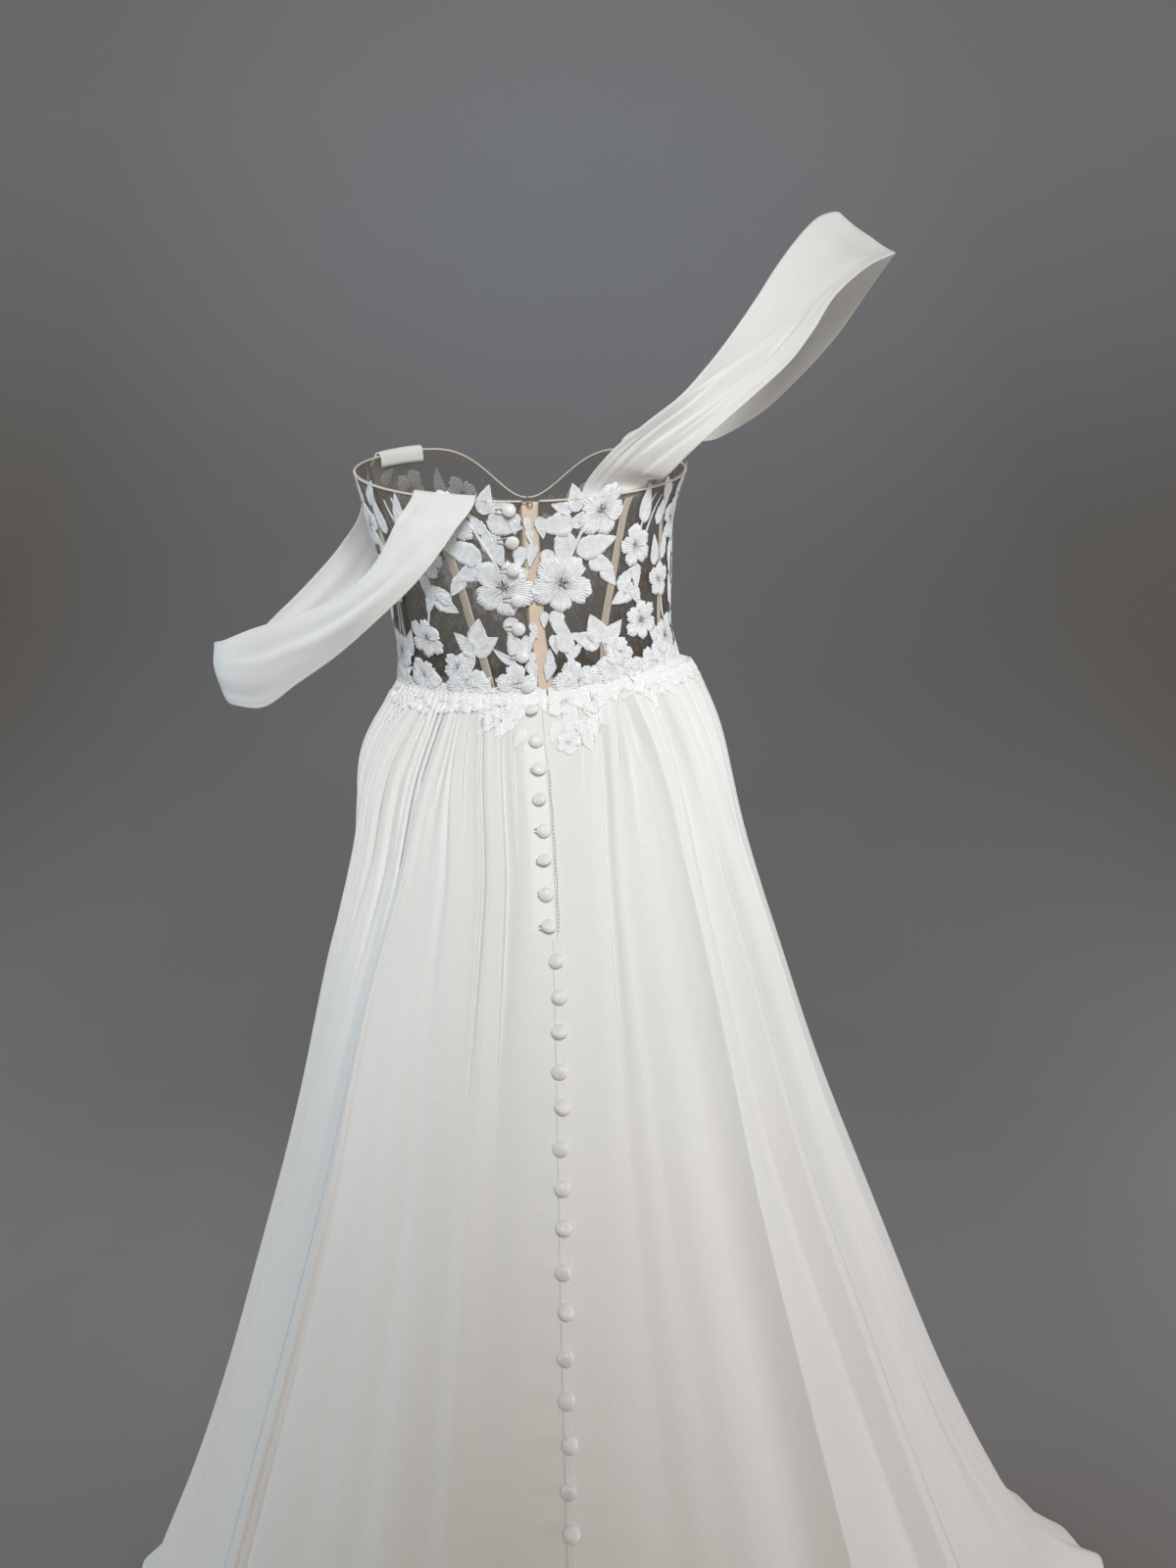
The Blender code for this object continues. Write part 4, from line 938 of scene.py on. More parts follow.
def lace_material():
    """White embroidery: close threads that follow each petal and leaf, with painted shade between them."""
    shader, place, thread, across, parts, height = embroidery("lace_embroidery", 1.9)
    loose = shader.math("SINE", shader.math("MULTIPLY", across, 2.0 * math.pi / 4.7))
    # Painted shade: grey lines in the grooves between the threads, in patches. Near each heart, dark slits
    # also lie between looser threads.
    patchy = shader.ramp(shader.noise(place, 230.0, 2.0, 0.6), 0.36, 0.58)
    lines = shader.math("MULTIPLY", shader.ramp(thread, -1.0, -0.50, 0.80, 0.0), patchy)
    near_heart = shader.ramp(parts.outputs[1], 0.10, 0.50, 1.0, 0.0)
    gaps = shader.math("MULTIPLY", near_heart, shader.ramp(loose, 0.2, 0.8))
    dark = shader.math("MAXIMUM", lines, gaps)
    white = shader.mix(shader.noise(place, 60.0, 2.0), (0.98, 0.98, 0.975, 1.0), (0.94, 0.945, 0.95, 1.0))
    shader.set("Base Color", shader.mix(dark, white, (0.36, 0.36, 0.37, 1.0)))
    shader.bump(height, 0.5, 0.0006)
    return shader.material


def applique_material():
    """The same embroidery on the crepe, where the ground behind it is white."""
    shader, place, thread, _, _, height = embroidery("lace_on_crepe", 2.6)
    # Painted shade: darker lines in the grooves between the threads, in patches.
    patchy = shader.ramp(shader.noise(place, 150.0, 2.0, 0.6), 0.30, 0.55, 0.25, 1.0)
    lines = shader.math("MULTIPLY", shader.ramp(thread, -1.0, -0.45, 0.75, 0.0), patchy)
    shader.set("Base Color", shader.mix(lines, (0.99, 0.98, 0.955, 1.0), (0.78, 0.765, 0.735, 1.0)))
    shader.bump(height, 0.42, 0.0007)
    return shader.material


def net_alpha(shader, pitch, thin, thick):
    """Opacity of a net of six-sided holes, from uv in metres."""
    parts = shader.node("ShaderNodeSeparateXYZ", Vector=shader.coordinates("UV"))
    turn = 4.0 * math.pi / (math.sqrt(3.0) * pitch)
    total = None
    for degrees in (90.0, 210.0, 330.0):
        along = shader.math("ADD",
                            shader.math("MULTIPLY", parts.outputs[0], turn * math.cos(math.radians(degrees))),
                            shader.math("MULTIPLY", parts.outputs[1], turn * math.sin(math.radians(degrees))))
        wave = shader.math("COSINE", along)
        total = wave if total is None else shader.math("ADD", total, wave)
    return shader.ramp(total, thin, thick, 1.0, 0.0)


def tulle_material():
    """Sheer nude net with six-sided holes."""
    shader = Shader("tulle_net", Roughness=0.7, Specular_IOR_Level=0.2)
    place = shader.coordinates()
    shader.set("Alpha", net_alpha(shader, 0.0013, -1.35, -0.45))
    tone = shader.noise(place, 40.0, 2.0)
    shader.set("Base Color", shader.mix(tone, (0.13, 0.11, 0.085, 1.0), (0.18, 0.15, 0.115, 1.0)))
    return shader.material


def ribbon_material(name, middle, edge, edge_share):
    """Satin ribbon; v of its uv runs across it, with paler stitched edges."""
    shader = Shader(name, Roughness=0.42, Specular_IOR_Level=0.45, Sheen_Weight=0.1)
    place = shader.coordinates()
    parts = shader.node("ShaderNodeSeparateXYZ", Vector=shader.coordinates("UV"))
    from_middle = shader.math("ABSOLUTE", shader.math("SUBTRACT", parts.outputs[1], 0.5))
    rim = shader.ramp(from_middle, 0.5 - edge_share, 0.5 - edge_share * 0.6)
    stitch = shader.math("SINE", shader.math("MULTIPLY", parts.outputs[0], 2.0 * math.pi / 0.0016))
    stitched = shader.math("MULTIPLY", rim, shader.ramp(stitch, -0.4, 0.6, 0.75, 1.0))
    tone = shader.noise(place, 90.0, 3.0)
    body = shader.mix(tone, middle, tuple(0.88 * part for part in middle[:3]) + (1.0,))
    shader.set("Base Color", shader.mix(stitched, body, edge))
    shader.set("Roughness", shader.ramp(tone, 0.3, 0.7, 0.36, 0.5))
    weave = shader.noise(place, 1700.0, 2.0)
    below = shader.bump(shader.math("MULTIPLY", stitched, stitch), 0.5, 0.0004)
    shader.bump(weave, 0.2, 0.0003, below)
    return shader.material


def satin_material():
    """Duchess satin on the covered buttons, with a fine weave and a soft gloss."""
    shader = Shader("button_cover_satin", Roughness=0.34, Specular_IOR_Level=0.5, Sheen_Weight=0.25,
                    Sheen_Roughness=0.3)
    place = shader.coordinates()
    tone = shader.noise(place, 160.0, 3.0)
    weave = shader.noise(place, 2600.0, 1.0)
    shader.set("Base Color", shader.mix(tone, (0.86, 0.84, 0.81, 1.0), (0.79, 0.77, 0.75, 1.0)))
    shader.set("Roughness", shader.ramp(tone, 0.3, 0.7, 0.28, 0.42))
    below = shader.bump(tone, 0.35, 0.0008)
    shader.bump(weave, 0.2, 0.0002, below)
    return shader.material


def thread_material(name, colour):
    """Thread and elastic: matt, with a fine twist."""
    shader = Shader(name, Roughness=0.6, Sheen_Weight=0.2)
    parts = shader.node("ShaderNodeSeparateXYZ", Vector=shader.coordinates("UV"))
    twist = shader.math("SINE", shader.math("MULTIPLY", shader.math(
        "ADD", parts.outputs[0], shader.math("MULTIPLY", parts.outputs[1], 0.0012)), 2.0 * math.pi / 0.0012))
    # Painted shade: the grooves of the twist are painted darker, on top of their bump.
    dark = tuple(0.72 * part for part in colour[:3]) + (1.0,)
    shader.set("Base Color", shader.mix(shader.ramp(twist, -1.0, 0.3), dark, colour))
    shader.bump(twist, 0.5, 0.0003)
    return shader.material


def metal_material():
    """Dulled steel of the hook and its eye."""
    shader = Shader("hook_steel", Metallic=1.0, Roughness=0.38)
    tone = shader.noise(shader.coordinates(), 900.0, 2.0)
    shader.set("Base Color", shader.mix(tone, (0.16, 0.15, 0.15, 1.0), (0.30, 0.29, 0.28, 1.0)))
    shader.set("Roughness", shader.ramp(tone, 0.3, 0.7, 0.3, 0.5))
    return shader.material


def floor_material():
    """A pale floor and backdrop, painted darker and paler by height and side to offset the uneven light of
    the lamps.
    """
    shader = Shader("pale_floor", Roughness=0.85, Specular_IOR_Level=0.1)
    place = shader.coordinates()
    height = shader.node("ShaderNodeSeparateXYZ", Vector=place).outputs[2]
    tone = shader.math("MULTIPLY", shader.noise(place, 3.0, 4.0), 0.06)
    # Painted light and shade: darker low on the floor, paler and bluer up the backdrop, offsetting how the
    # lamps fall on it.
    rise = shader.math("ADD", shader.ramp(height, -1.2, 2.2), tone)
    even = shader.mix(rise, (0.27, 0.255, 0.25, 1.0), (0.64, 0.72, 0.84, 1.0))
    across = shader.node("ShaderNodeSeparateXYZ", Vector=place).outputs[0]
    # Painted light: the floor's far sides, low down, are painted paler to even out the light there.
    low = shader.ramp(height, 1.2, -0.9)
    right = shader.math("MULTIPLY", shader.ramp(across, -0.5, -2.1), low)
    left = shader.math("MULTIPLY", shader.ramp(across, 0.9, 2.2, 0.0, 0.6), low)
    side = shader.math("MAXIMUM", right, left)
    shader.set("Base Color", shader.mix(side, even, (0.42, 0.437, 0.473, 1.0)))
    return shader.material


IVORY = (0.84, 0.83, 0.80, 1.0)
IVORY_SHADE = (0.81, 0.795, 0.76, 1.0)
NUDE = (0.47, 0.40, 0.31, 1.0)
NUDE_EDGE = (0.66, 0.59, 0.49, 1.0)

MATERIALS = {
    "crepe": crepe_material("crepe_ivory", IVORY, IVORY_SHADE),
    # The button stand is the same crepe, painted paler as painted light on its flat strip.
    "stand": crepe_material("crepe_stand_painted_light", (0.89, 0.88, 0.85, 1.0), (0.86, 0.845, 0.81, 1.0)),
    "lace": lace_material(),
    "applique": applique_material(),
    "tulle": tulle_material(),
    "nude": ribbon_material("nude_ribbon", NUDE, NUDE_EDGE, 0.16),
    "placket": ribbon_material("nude_placket", (0.81, 0.66, 0.50, 1.0), (0.64, 0.49, 0.36, 1.0), 0.12),
    "binding": ribbon_material("nude_binding", (0.74, 0.63, 0.52, 1.0), (0.80, 0.73, 0.64, 1.0), 0.3),
    "satin": satin_material(),
    "thread": thread_material("ivory_thread", (0.80, 0.76, 0.70, 1.0)),
    "zip": thread_material("zip_coil_thread", (0.34, 0.33, 0.31, 1.0)),
    "steel": metal_material(),
    "floor": floor_material(),
}


# ---------------------------------------------------------------- skirt

def skirt_columns(first, last, closest):
    """Hem angles across a gore, close together at each fold's edge and crease."""
    wanted = list(np.linspace(first, last, max(2, math.ceil((last - first) / COLUMN_STEP))))
    marks = [(row[0], row[6] * np.array((-1.6, -0.8, 0.0, 0.8, 1.6))) for row in FOLD_EDGES]
    marks += [(row[0], np.array((-1.1, -0.45, -0.15, 0.0, 0.15, 0.45, 1.1))) for row in CREASES]
    for middle, offsets in marks:
        for turn in (0.0, 360.0):
            wanted += [place for place in float(centred(middle)) + turn + offsets if first < place < last]
    wanted.sort()
    kept = [wanted[0]]
    for place in wanted[1:-1]:
        if place - kept[-1] > closest and last - place > 0.5 * closest:
            kept.append(place)
    return np.array(kept + [wanted[-1]])


def skirt_rows():
    """Fractions of the length, closer together below the waist and at the hem's turned edge."""
    count = 104
    even = np.linspace(0.0, 1.0, count)
    rows = even * (0.35 + 0.65 * even)
    edge = 1.0 - np.array([0.0075, 0.0060, 0.0052, 0.0015])
    rows = np.concatenate([rows[rows < 0.990], edge, [1.0]])
    return np.sort(rows)


def hem_turn(fractions):
    """Small rise of the narrow turned hem, with the line of its stitches."""
    band = ease(fractions, 0.9925, 0.9950)
    stitch = np.exp(-((fractions - 0.9945) / 0.0007)**2)
    return (0.5 * band - 0.4 * stitch) * MM


def make_skirt():
    """Five gores of crepe."""
    fractions = skirt_rows()
    for name, first, last in SKIRT_GORES:
        closest = CLOSEST_FRONT_COLUMNS if name == "skirt_front" else CLOSEST_COLUMNS
        columns = skirt_columns(first, last, closest)
        points, angle = skirt_grid(columns, fractions)
        points = points + outward_of(angle, np.broadcast_to(fractions[:, None], angle.shape)) \
            * hem_turn(fractions)[:, None, None]
        uv = paired(columns[None, :] / 60.0, fractions[:, None] * BACK_LENGTH)
        gore = grid_object(name + "_cloth", points, MATERIALS["crepe"], uv, flip=True)
        thicken(gore, SKIRT_WALL)
        settle(gore, (name,))


# ---------------------------------------------------------------- lace motifs

def petal(length, turn, width, seed, lift):
    """One petal with a lobed edge: points (x, y, rise) in mm, faces and uv."""
    rows, columns = ((5, 17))
    t = np.linspace(-1.0, 1.0, columns)
    i = np.linspace(0.0, 1.0, rows)
    phase = 1.7 * seed
    lobes = 0.10 * (np.abs(np.cos(1.5 * math.pi * (t + 0.10 * math.sin(phase))))**0.6 - 1.0)
    ragged = 0.022 * np.sin(13.0 * t + phase) + 0.018 * np.sin(23.0 * t + 2.0 * phase)
    reach = length * (1.0 + lobes - 0.44 * np.abs(t)**2.7 + ragged)
    start = 0.10 * length
    radius = start + (reach[None, :] - start) * i[:, None]
    spread = (0.50 + 0.50 * ease(i, 0.05, 0.50))[:, None]
    angle = math.radians(turn) + math.radians(width) * t[None, :] * spread
    rim = np.maximum(np.abs(t)[None, :]**5, ease(i, 0.80, 1.0)[:, None])
    ridges = 0.16 * np.sin(7.5 * t[None, :] + 2.0 * phase) * np.sin(math.pi * i)[:, None]
    crown = 0.25 * np.sin(math.pi * i)[:, None] * (1.0 - t[None, :]**2)
    rise = lift + 0.30 * rim + ridges + crown + 0.4 * i[:, None]
    x = radius * np.sin(angle)
    y = radius * np.cos(angle)
    stitch = t[None, :] * math.radians(width) * 0.7 * length * spread
    uv = paired(stitch + 3.1 * seed, i[:, None])
    return paired(x, y, rise), grid_faces(rows, columns), uv


def leaf(length, width, seed, bend=0.0):
    """One toothed leaf from its base at the origin, pointing up: points, faces and uv."""
    rows, columns = ((15, 7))
    t = np.linspace(0.0, 1.0, rows)
    w = np.linspace(-1.0, 1.0, columns)
    phase = 2.1 * seed
    body = np.sin(math.pi * t**0.74)**0.86
    teeth = 1.0 + 0.16 * (np.abs(np.sin(4.6 * math.pi * t + phase))**0.7 - 0.6)
    half = 0.5 * width * body * teeth
    curve = bend * length * np.sin(math.pi * t / 2.0)**2
    x = half[:, None] * w[None, :] + curve[:, None]
    y = length * (t[:, None] - 0.10 * np.abs(w[None, :]) * np.sin(math.pi * t)[:, None])
    groove = -0.50 * np.exp(-(w / 0.16)**2)[None, :] * np.sin(math.pi * t)[:, None]
    rim = 0.25 * np.abs(w)[None, :]**4
    veins = 0.10 * np.sin(19.0 * t[:, None] + 5.0 * np.abs(w[None, :]) + phase)
    rise = 0.35 + groove + rim + veins + 0.3 * np.sin(math.pi * t)[:, None]
    stitch = y - np.abs(x - curve[:, None]) * 0.9
    uv = paired(stitch + 2.7 * seed, 0.5 + 0.0 * x)
    return np.stack([x, y, np.broadcast_to(rise, x.shape)], -1), grid_faces(rows, columns), uv


def stem(points, width, count=11):
    """A raised cord through points in mm: its points, faces and uv."""
    control = np.array(points, float)
    knots = np.linspace(0.0, 1.0, len(control))
    t = np.linspace(0.0, 1.0, count)
    line = np.stack([smooth(t, knots, control[:, axis]) for axis in range(2)], -1)
    along = unit(np.gradient(line, axis=0))
    side = np.stack([along[:, 1], -along[:, 0]], -1)
    profile = np.array(((-1.0, 0.15), (-0.7, 0.75), (0.0, 1.1), (0.7, 0.75), (1.0, 0.15)))
    taper = (0.55 + 0.45 * np.sin(math.pi * t))[:, None, None]
    flat = line[:, None, :] + side[:, None, :] * profile[None, :, :1] * (width / 2.0) * taper
    rise = np.broadcast_to(0.3 + profile[None, :, 1] * width * 0.32, flat.shape[:2])
    length = run_length(line)
    uv = paired(length[:, None] + profile[None, :, 0] * 0.8, 0.5)
    return np.concatenate([flat, rise[..., None]], -1), grid_faces(count, len(profile)), uv


def turned(points, degrees, mirror):
    """Turn a motif clockwise, seen from outside, and mirror it for the other half."""
    turn = math.radians(degrees)
    x = points[..., 0] * math.cos(turn) + points[..., 1] * math.sin(turn)
    y = -points[..., 0] * math.sin(turn) + points[..., 1] * math.cos(turn)
    return np.stack([x * (-1.0 if mirror else 1.0), y, points[..., 2]], -1)


def motif_shapes(kind, size, other, turn, seed):
    """The shapes of one motif, before it is placed: petals, leaves or a stem."""
    shapes = []
    if kind == "flower":
        petals = int(other)
        for number in range(petals):
            gap = 360.0 / petals
            grow = 1.0 + 0.09 * math.sin(2.3 * number + seed)
            lift = 0.30 + 0.22 * (number % 2) + 0.1 * (number == petals - 1)
            points, faces, uv = petal(size * grow, number * gap + 5.0 * math.sin(seed + number), 0.575 * gap,
                                      seed + number, lift)
            shapes.append((turned(points, turn, False), faces, uv))
        for number in range(4):
            spoke = turn + number * 83.0 + 11.0 * seed
            reach = size * (0.24 + 0.07 * math.sin(seed + 2.0 * number))
            line = ((0.02 * size, 0.0), (reach * 0.5, 0.05 * reach), (reach, 0.0))
            points, faces, uv = stem(line, 0.7, 5)
            points[..., 2] += 0.6
            shapes.append((turned(points, spoke, False), faces, uv))
    elif kind == "leaf":
        points, faces, uv = leaf(size, other, seed, 0.06 * math.sin(seed))
        shapes.append((turned(points, turn, False), faces, uv))
    elif kind == "sprig":
        for number, lean in enumerate((-48.0, 0.0, 52.0)):
            grow = (0.86, 1.0, 0.9)[number]
            points, faces, uv = leaf(size * grow, other * grow, seed + number, 0.05)
            shapes.append((turned(points, turn + lean, False), faces, uv))
    return shapes


# One half of the back, as distances from the back line: kind, degrees away from the line, share of the
# height, size in mm (a flower's radius, a leaf's length), petals of a flower or width of a leaf, turn
# clockwise from upright as seen from outside on the right half
BACK_LACE = (
    ("flower", 10.5, 0.565, 23.0, 5, 38.0),
    ("flower", 27.5, 0.915, 19.5, 5, 12.0),
    ("flower", 42.0, 0.690, 16.0, 5, -12.0),
    ("flower", 47.5, 0.275, 16.5, 6, 4.0),
    ("flower", 30.0, 0.045, 17.0, 5, 20.0),
    ("flower", 10.5, 0.040, 17.0, 5, -8.0),
    ("flower", 51.0, 0.055, 15.0, 5, 30.0),
    ("leaf", 15.5, 0.890, 27.0, 18.0, -98.0),
    ("leaf", 14.5, 0.950, 17.0, 10.0, -62.0),
    ("leaf", 14.6, 0.845, 29.0, 17.0, 204.0),
    ("leaf", 17.0, 0.935, 22.0, 13.0, -24.0),
    ("leaf", 15.2, 0.845, 17.0, 10.0, 30.0),
    ("leaf", 17.5, 0.715, 35.0, 18.0, 78.0),
    ("leaf", 20.5, 0.660, 23.0, 13.0, 122.0),
    ("leaf", 48.5, 0.800, 30.0, 13.0, 2.0),
    ("leaf", 44.0, 0.600, 20.0, 10.0, 168.0),
    ("leaf", 41.0, 0.480, 22.0, 15.0, -122.0),
    ("leaf", 41.5, 0.470, 14.0, 10.0, -40.0),
    ("leaf", 42.0, 0.500, 19.0, 9.0, 166.0),
    ("leaf", 24.5, 0.235, 24.0, 17.0, -14.0),
    ("leaf", 25.0, 0.215, 25.0, 14.0, -68.0),
    ("leaf", 26.0, 0.215, 23.0, 15.0, 42.0),
    ("leaf", 26.0, 0.190, 19.0, 12.0, 100.0),
    ("leaf", 9.3, 0.420, 18.0, 12.0, 196.0),
    ("leaf", 8.8, 0.190, 24.0, 15.0, 8.0),
    ("leaf", 10.0, 0.160, 19.0, 7.0, 40.0),
    ("leaf", 4.6, 0.170, 16.0, 9.0, -168.0),
    ("leaf", 4.2, 0.760, 17.0, 11.0, 176.0),
    ("leaf", 4.0, 0.930, 16.0, 10.0, 184.0),
    ("leaf", 4.4, 0.660, 15.0, 9.0, 172.0),
    ("leaf", 4.8, 0.310, 15.0, 8.0, 168.0),
    ("leaf", 5.2, 0.080, 16.0, 9.0, 150.0),
    ("leaf", 27.0, 0.620, 20.0, 11.0, 150.0),
    ("leaf", 33.0, 0.480, 22.0, 12.0, 60.0),
    ("flower", 33.0, 0.140, 12.0, 5, 30.0),
)
# Motifs of one side only, at their own angles: small leaves over the placket and beside it
SINGLE_LACE = (
    ("leaf", -0.6, 0.930, 15.0, 6.0, 182.0),
    ("leaf", -1.4, 0.870, 13.0, 6.0, 160.0),
    ("leaf", -4.2, 0.800, 19.0, 9.0, 184.0),
    ("leaf", -1.2, 0.560, 12.0, 5.5, 170.0),
    ("leaf", -0.8, 0.380, 13.0, 6.0, 176.0),
    ("leaf", -1.6, 0.330, 11.0, 5.0, 200.0),
    ("leaf", -4.6, 0.420, 13.0, 7.0, 176.0),
    ("leaf", -0.4, 0.210, 13.0, 6.0, 186.0),
    ("leaf", -5.4, 0.135, 13.0, 7.0, 10.0),
)
# The side and the front of one half, as angles from the centre back
SIDE_LACE = (
    ("leaf", 59.0, 0.770, 31.0, 12.0, 14.0),
    ("leaf", 58.0, 0.560, 24.0, 11.0, -8.0),
    ("flower", 63.5, 0.480, 14.5, 5, 10.0),
    ("leaf", 64.0, 0.590, 24.0, 11.0, 20.0),
    ("leaf", 60.0, 0.140, 24.0, 12.0, -30.0),
    ("flower", 69.0, 0.160, 18.0, 5, 25.0),
    ("flower", 74.0, 0.780, 18.5, 5, 8.0),
    ("leaf", 66.0, 0.900, 24.0, 11.0, -22.0),
    ("leaf", 76.0, 0.880, 27.0, 12.0, 14.0),
    ("leaf", 74.0, 0.640, 24.0, 12.0, 172.0),
    ("leaf", 82.0, 0.640, 24.0, 11.0, 130.0),
    ("leaf", 80.0, 0.300, 26.0, 13.0, -18.0),
    ("leaf", 82.0, 0.280, 24.0, 13.0, 46.0),
    ("leaf", 81.0, 0.250, 22.0, 12.0, 128.0),
    ("flower", 90.0, 0.040, 16.0, 5, 0.0),
    ("flower", 92.0, 0.500, 18.0, 5, -14.0),
    ("leaf", 90.0, 0.760, 24.0, 12.0, -60.0),
    ("flower", 96.0, 0.880, 16.0, 5, 30.0),
    ("leaf", 99.0, 0.620, 25.0, 12.0, 60.0),
    ("leaf", 99.0, 0.330, 25.0, 13.0, 146.0),
    ("leaf", 97.0, 0.220, 22.0, 12.0, 40.0),
    ("flower", 109.0, 0.180, 18.0, 5, 18.0),
    ("flower", 112.0, 0.640, 20.0, 5, 40.0),
    ("leaf", 110.0, 0.820, 26.0, 13.0, -14.0),
    ("leaf", 115.0, 0.860, 24.0, 12.0, 44.0),
    ("leaf", 117.0, 0.440, 27.0, 14.0, 140.0),
    ("leaf", 112.0, 0.430, 24.0, 13.0, 196.0),
    ("flower", 127.0, 0.060, 16.0, 5, 0.0),
    ("flower", 128.0, 0.370, 19.0, 5, 10.0),
    ("flower", 130.0, 0.840, 19.0, 5, 24.0),
    ("leaf", 126.0, 0.560, 25.0, 13.0, -34.0),
    ("leaf", 131.0, 0.560, 26.0, 13.0, 26.0),
    ("leaf", 139.0, 0.690, 26.0, 14.0, 66.0),
    ("leaf", 140.0, 0.240, 24.0, 13.0, 150.0),
    ("flower", 146.0, 0.460, 21.0, 5, -10.0),
    ("flower", 147.0, 0.110, 17.0, 5, 14.0),
    ("leaf", 145.0, 0.800, 24.0, 12.0, 8.0),
    ("flower", 154.0, 0.820, 17.0, 5, 42.0),
    ("leaf", 154.0, 0.640, 23.0, 12.0, 30.0),
    ("leaf", 157.0, 0.300, 25.0, 13.0, -24.0),
    ("leaf", 160.0, 0.280, 24.0, 12.0, 40.0),
    ("flower", 165.0, 0.560, 18.0, 5, 6.0),
    ("flower", 167.0, 0.060, 16.0, 5, 20.0),
    ("leaf", 164.0, 0.780, 25.0, 12.0, -20.0),
    ("leaf", 171.0, 0.780, 22.0, 11.0, 16.0),
    ("leaf", 172.0, 0.330, 24.0, 12.0, 180.0),
    ("leaf", 174.0, 0.460, 22.0, 11.0, 60.0),
)
# Stems of one half: degrees from the line and shares of the height of three points, width in mm
BACK_STEMS = (
    ((21.5, 0.900), (15.5, 0.745), (11.0, 0.615), 3.0),
    ((16.5, 0.900), (14.0, 0.820), (13.5, 0.740), 2.0),
    ((52.5, 0.960), (47.5, 0.840), (44.0, 0.740), 2.2),
    ((57.0, 0.940), (51.0, 0.800), (46.5, 0.700), 2.0),
    ((25.5, 0.240), (26.5, 0.160), (29.5, 0.090), 2.0),
    ((9.0, 0.230), (10.5, 0.150), (11.5, 0.080), 2.0),
    ((43.0, 0.560), (43.5, 0.460), (46.0, 0.330), 2.4),
)
SIDE_STEMS = (
    ((64.0, 0.420), (66.0, 0.300), (69.0, 0.220), 2.2),
    ((75.0, 0.700), (77.0, 0.480), (81.0, 0.270), 2.2),
    ((92.0, 0.800), (93.0, 0.650), (92.0, 0.560), 2.2),
    ((93.0, 0.420), (97.0, 0.280), (104.0, 0.210), 2.2),
    ((112.0, 0.540), (113.0, 0.440), (110.0, 0.260), 2.2),
    ((130.0, 0.760), (129.0, 0.600), (128.0, 0.460), 2.2),
    ((146.0, 0.360), (146.0, 0.260), (147.0, 0.170), 2.2),
    ((154.0, 0.740), (150.0, 0.600), (147.0, 0.520), 2.2),
    ((165.0, 0.460), (163.0, 0.340), (160.0, 0.260), 2.2),
)
LACE_LINE = -2.3
MOTIF_SCALE = 1.05
# The run of lace along the waist seam: pitch in degrees
WAIST_RUN_PITCH = 11.0


def waist_run():
    """Small flowers and leaves close together along the lower edge of one half, from the back line on."""
    rows = []
    count = int(176.0 / WAIST_RUN_PITCH)
    for number in range(count):
        angle = 6.0 + WAIST_RUN_PITCH * number
        wave = math.sin(2.3 * number + 0.4)
        rows.append(("leaf", angle + 2.0, 0.030, 19.0 + 3.0 * wave, 12.0, 52.0 + 20.0 * wave))
        rows.append(("leaf", angle + 6.5, 0.025, 18.0 - 3.0 * wave, 12.0, -50.0 + 22.0 * wave))
        rows.append(("flower", angle + 4.5, 0.015, 11.5 + 1.5 * wave, 5, 40.0 * number))
    return rows


def bodice_scale(angle, share):
    """Metres for one degree, and for the whole height, at a place on the bodice."""
    middle, _ = bodice_placed(angle, share)
    beside, _ = bodice_placed(angle + 1.0, share)
    above, _ = bodice_placed(angle, share + 0.02)
    return np.linalg.norm(beside - middle), np.linalg.norm(above - middle) / 0.02


def on_bodice(shape, centre_angle, centre_share, mirrored):
    """Angle, share and lift of a flat motif, in mm, on the bodice; its x runs away from the back line."""
    per_degree, per_share = bodice_scale(centre_angle, centre_share)
    side = 1.0 if mirrored else -1.0
    angle = centre_angle + side * shape[..., 0] * MM / per_degree
    share = centre_share + shape[..., 1] * MM / per_share
    return np.stack([angle, share, BODICE_WALL / 2.0 + shape[..., 2] * MM], -1)


def panel_of(angle):
    """Name of the bodice panel at an angle."""
    turn = float(centred(angle))
    side = "left" if turn >= LACE_LINE else "right"
    away = abs(turn)
    part = "back" if away < PANEL_EDGES[0] else "side" if away < PANEL_EDGES[1] else "front"
    return "bodice_%s_%s" % (part, side)


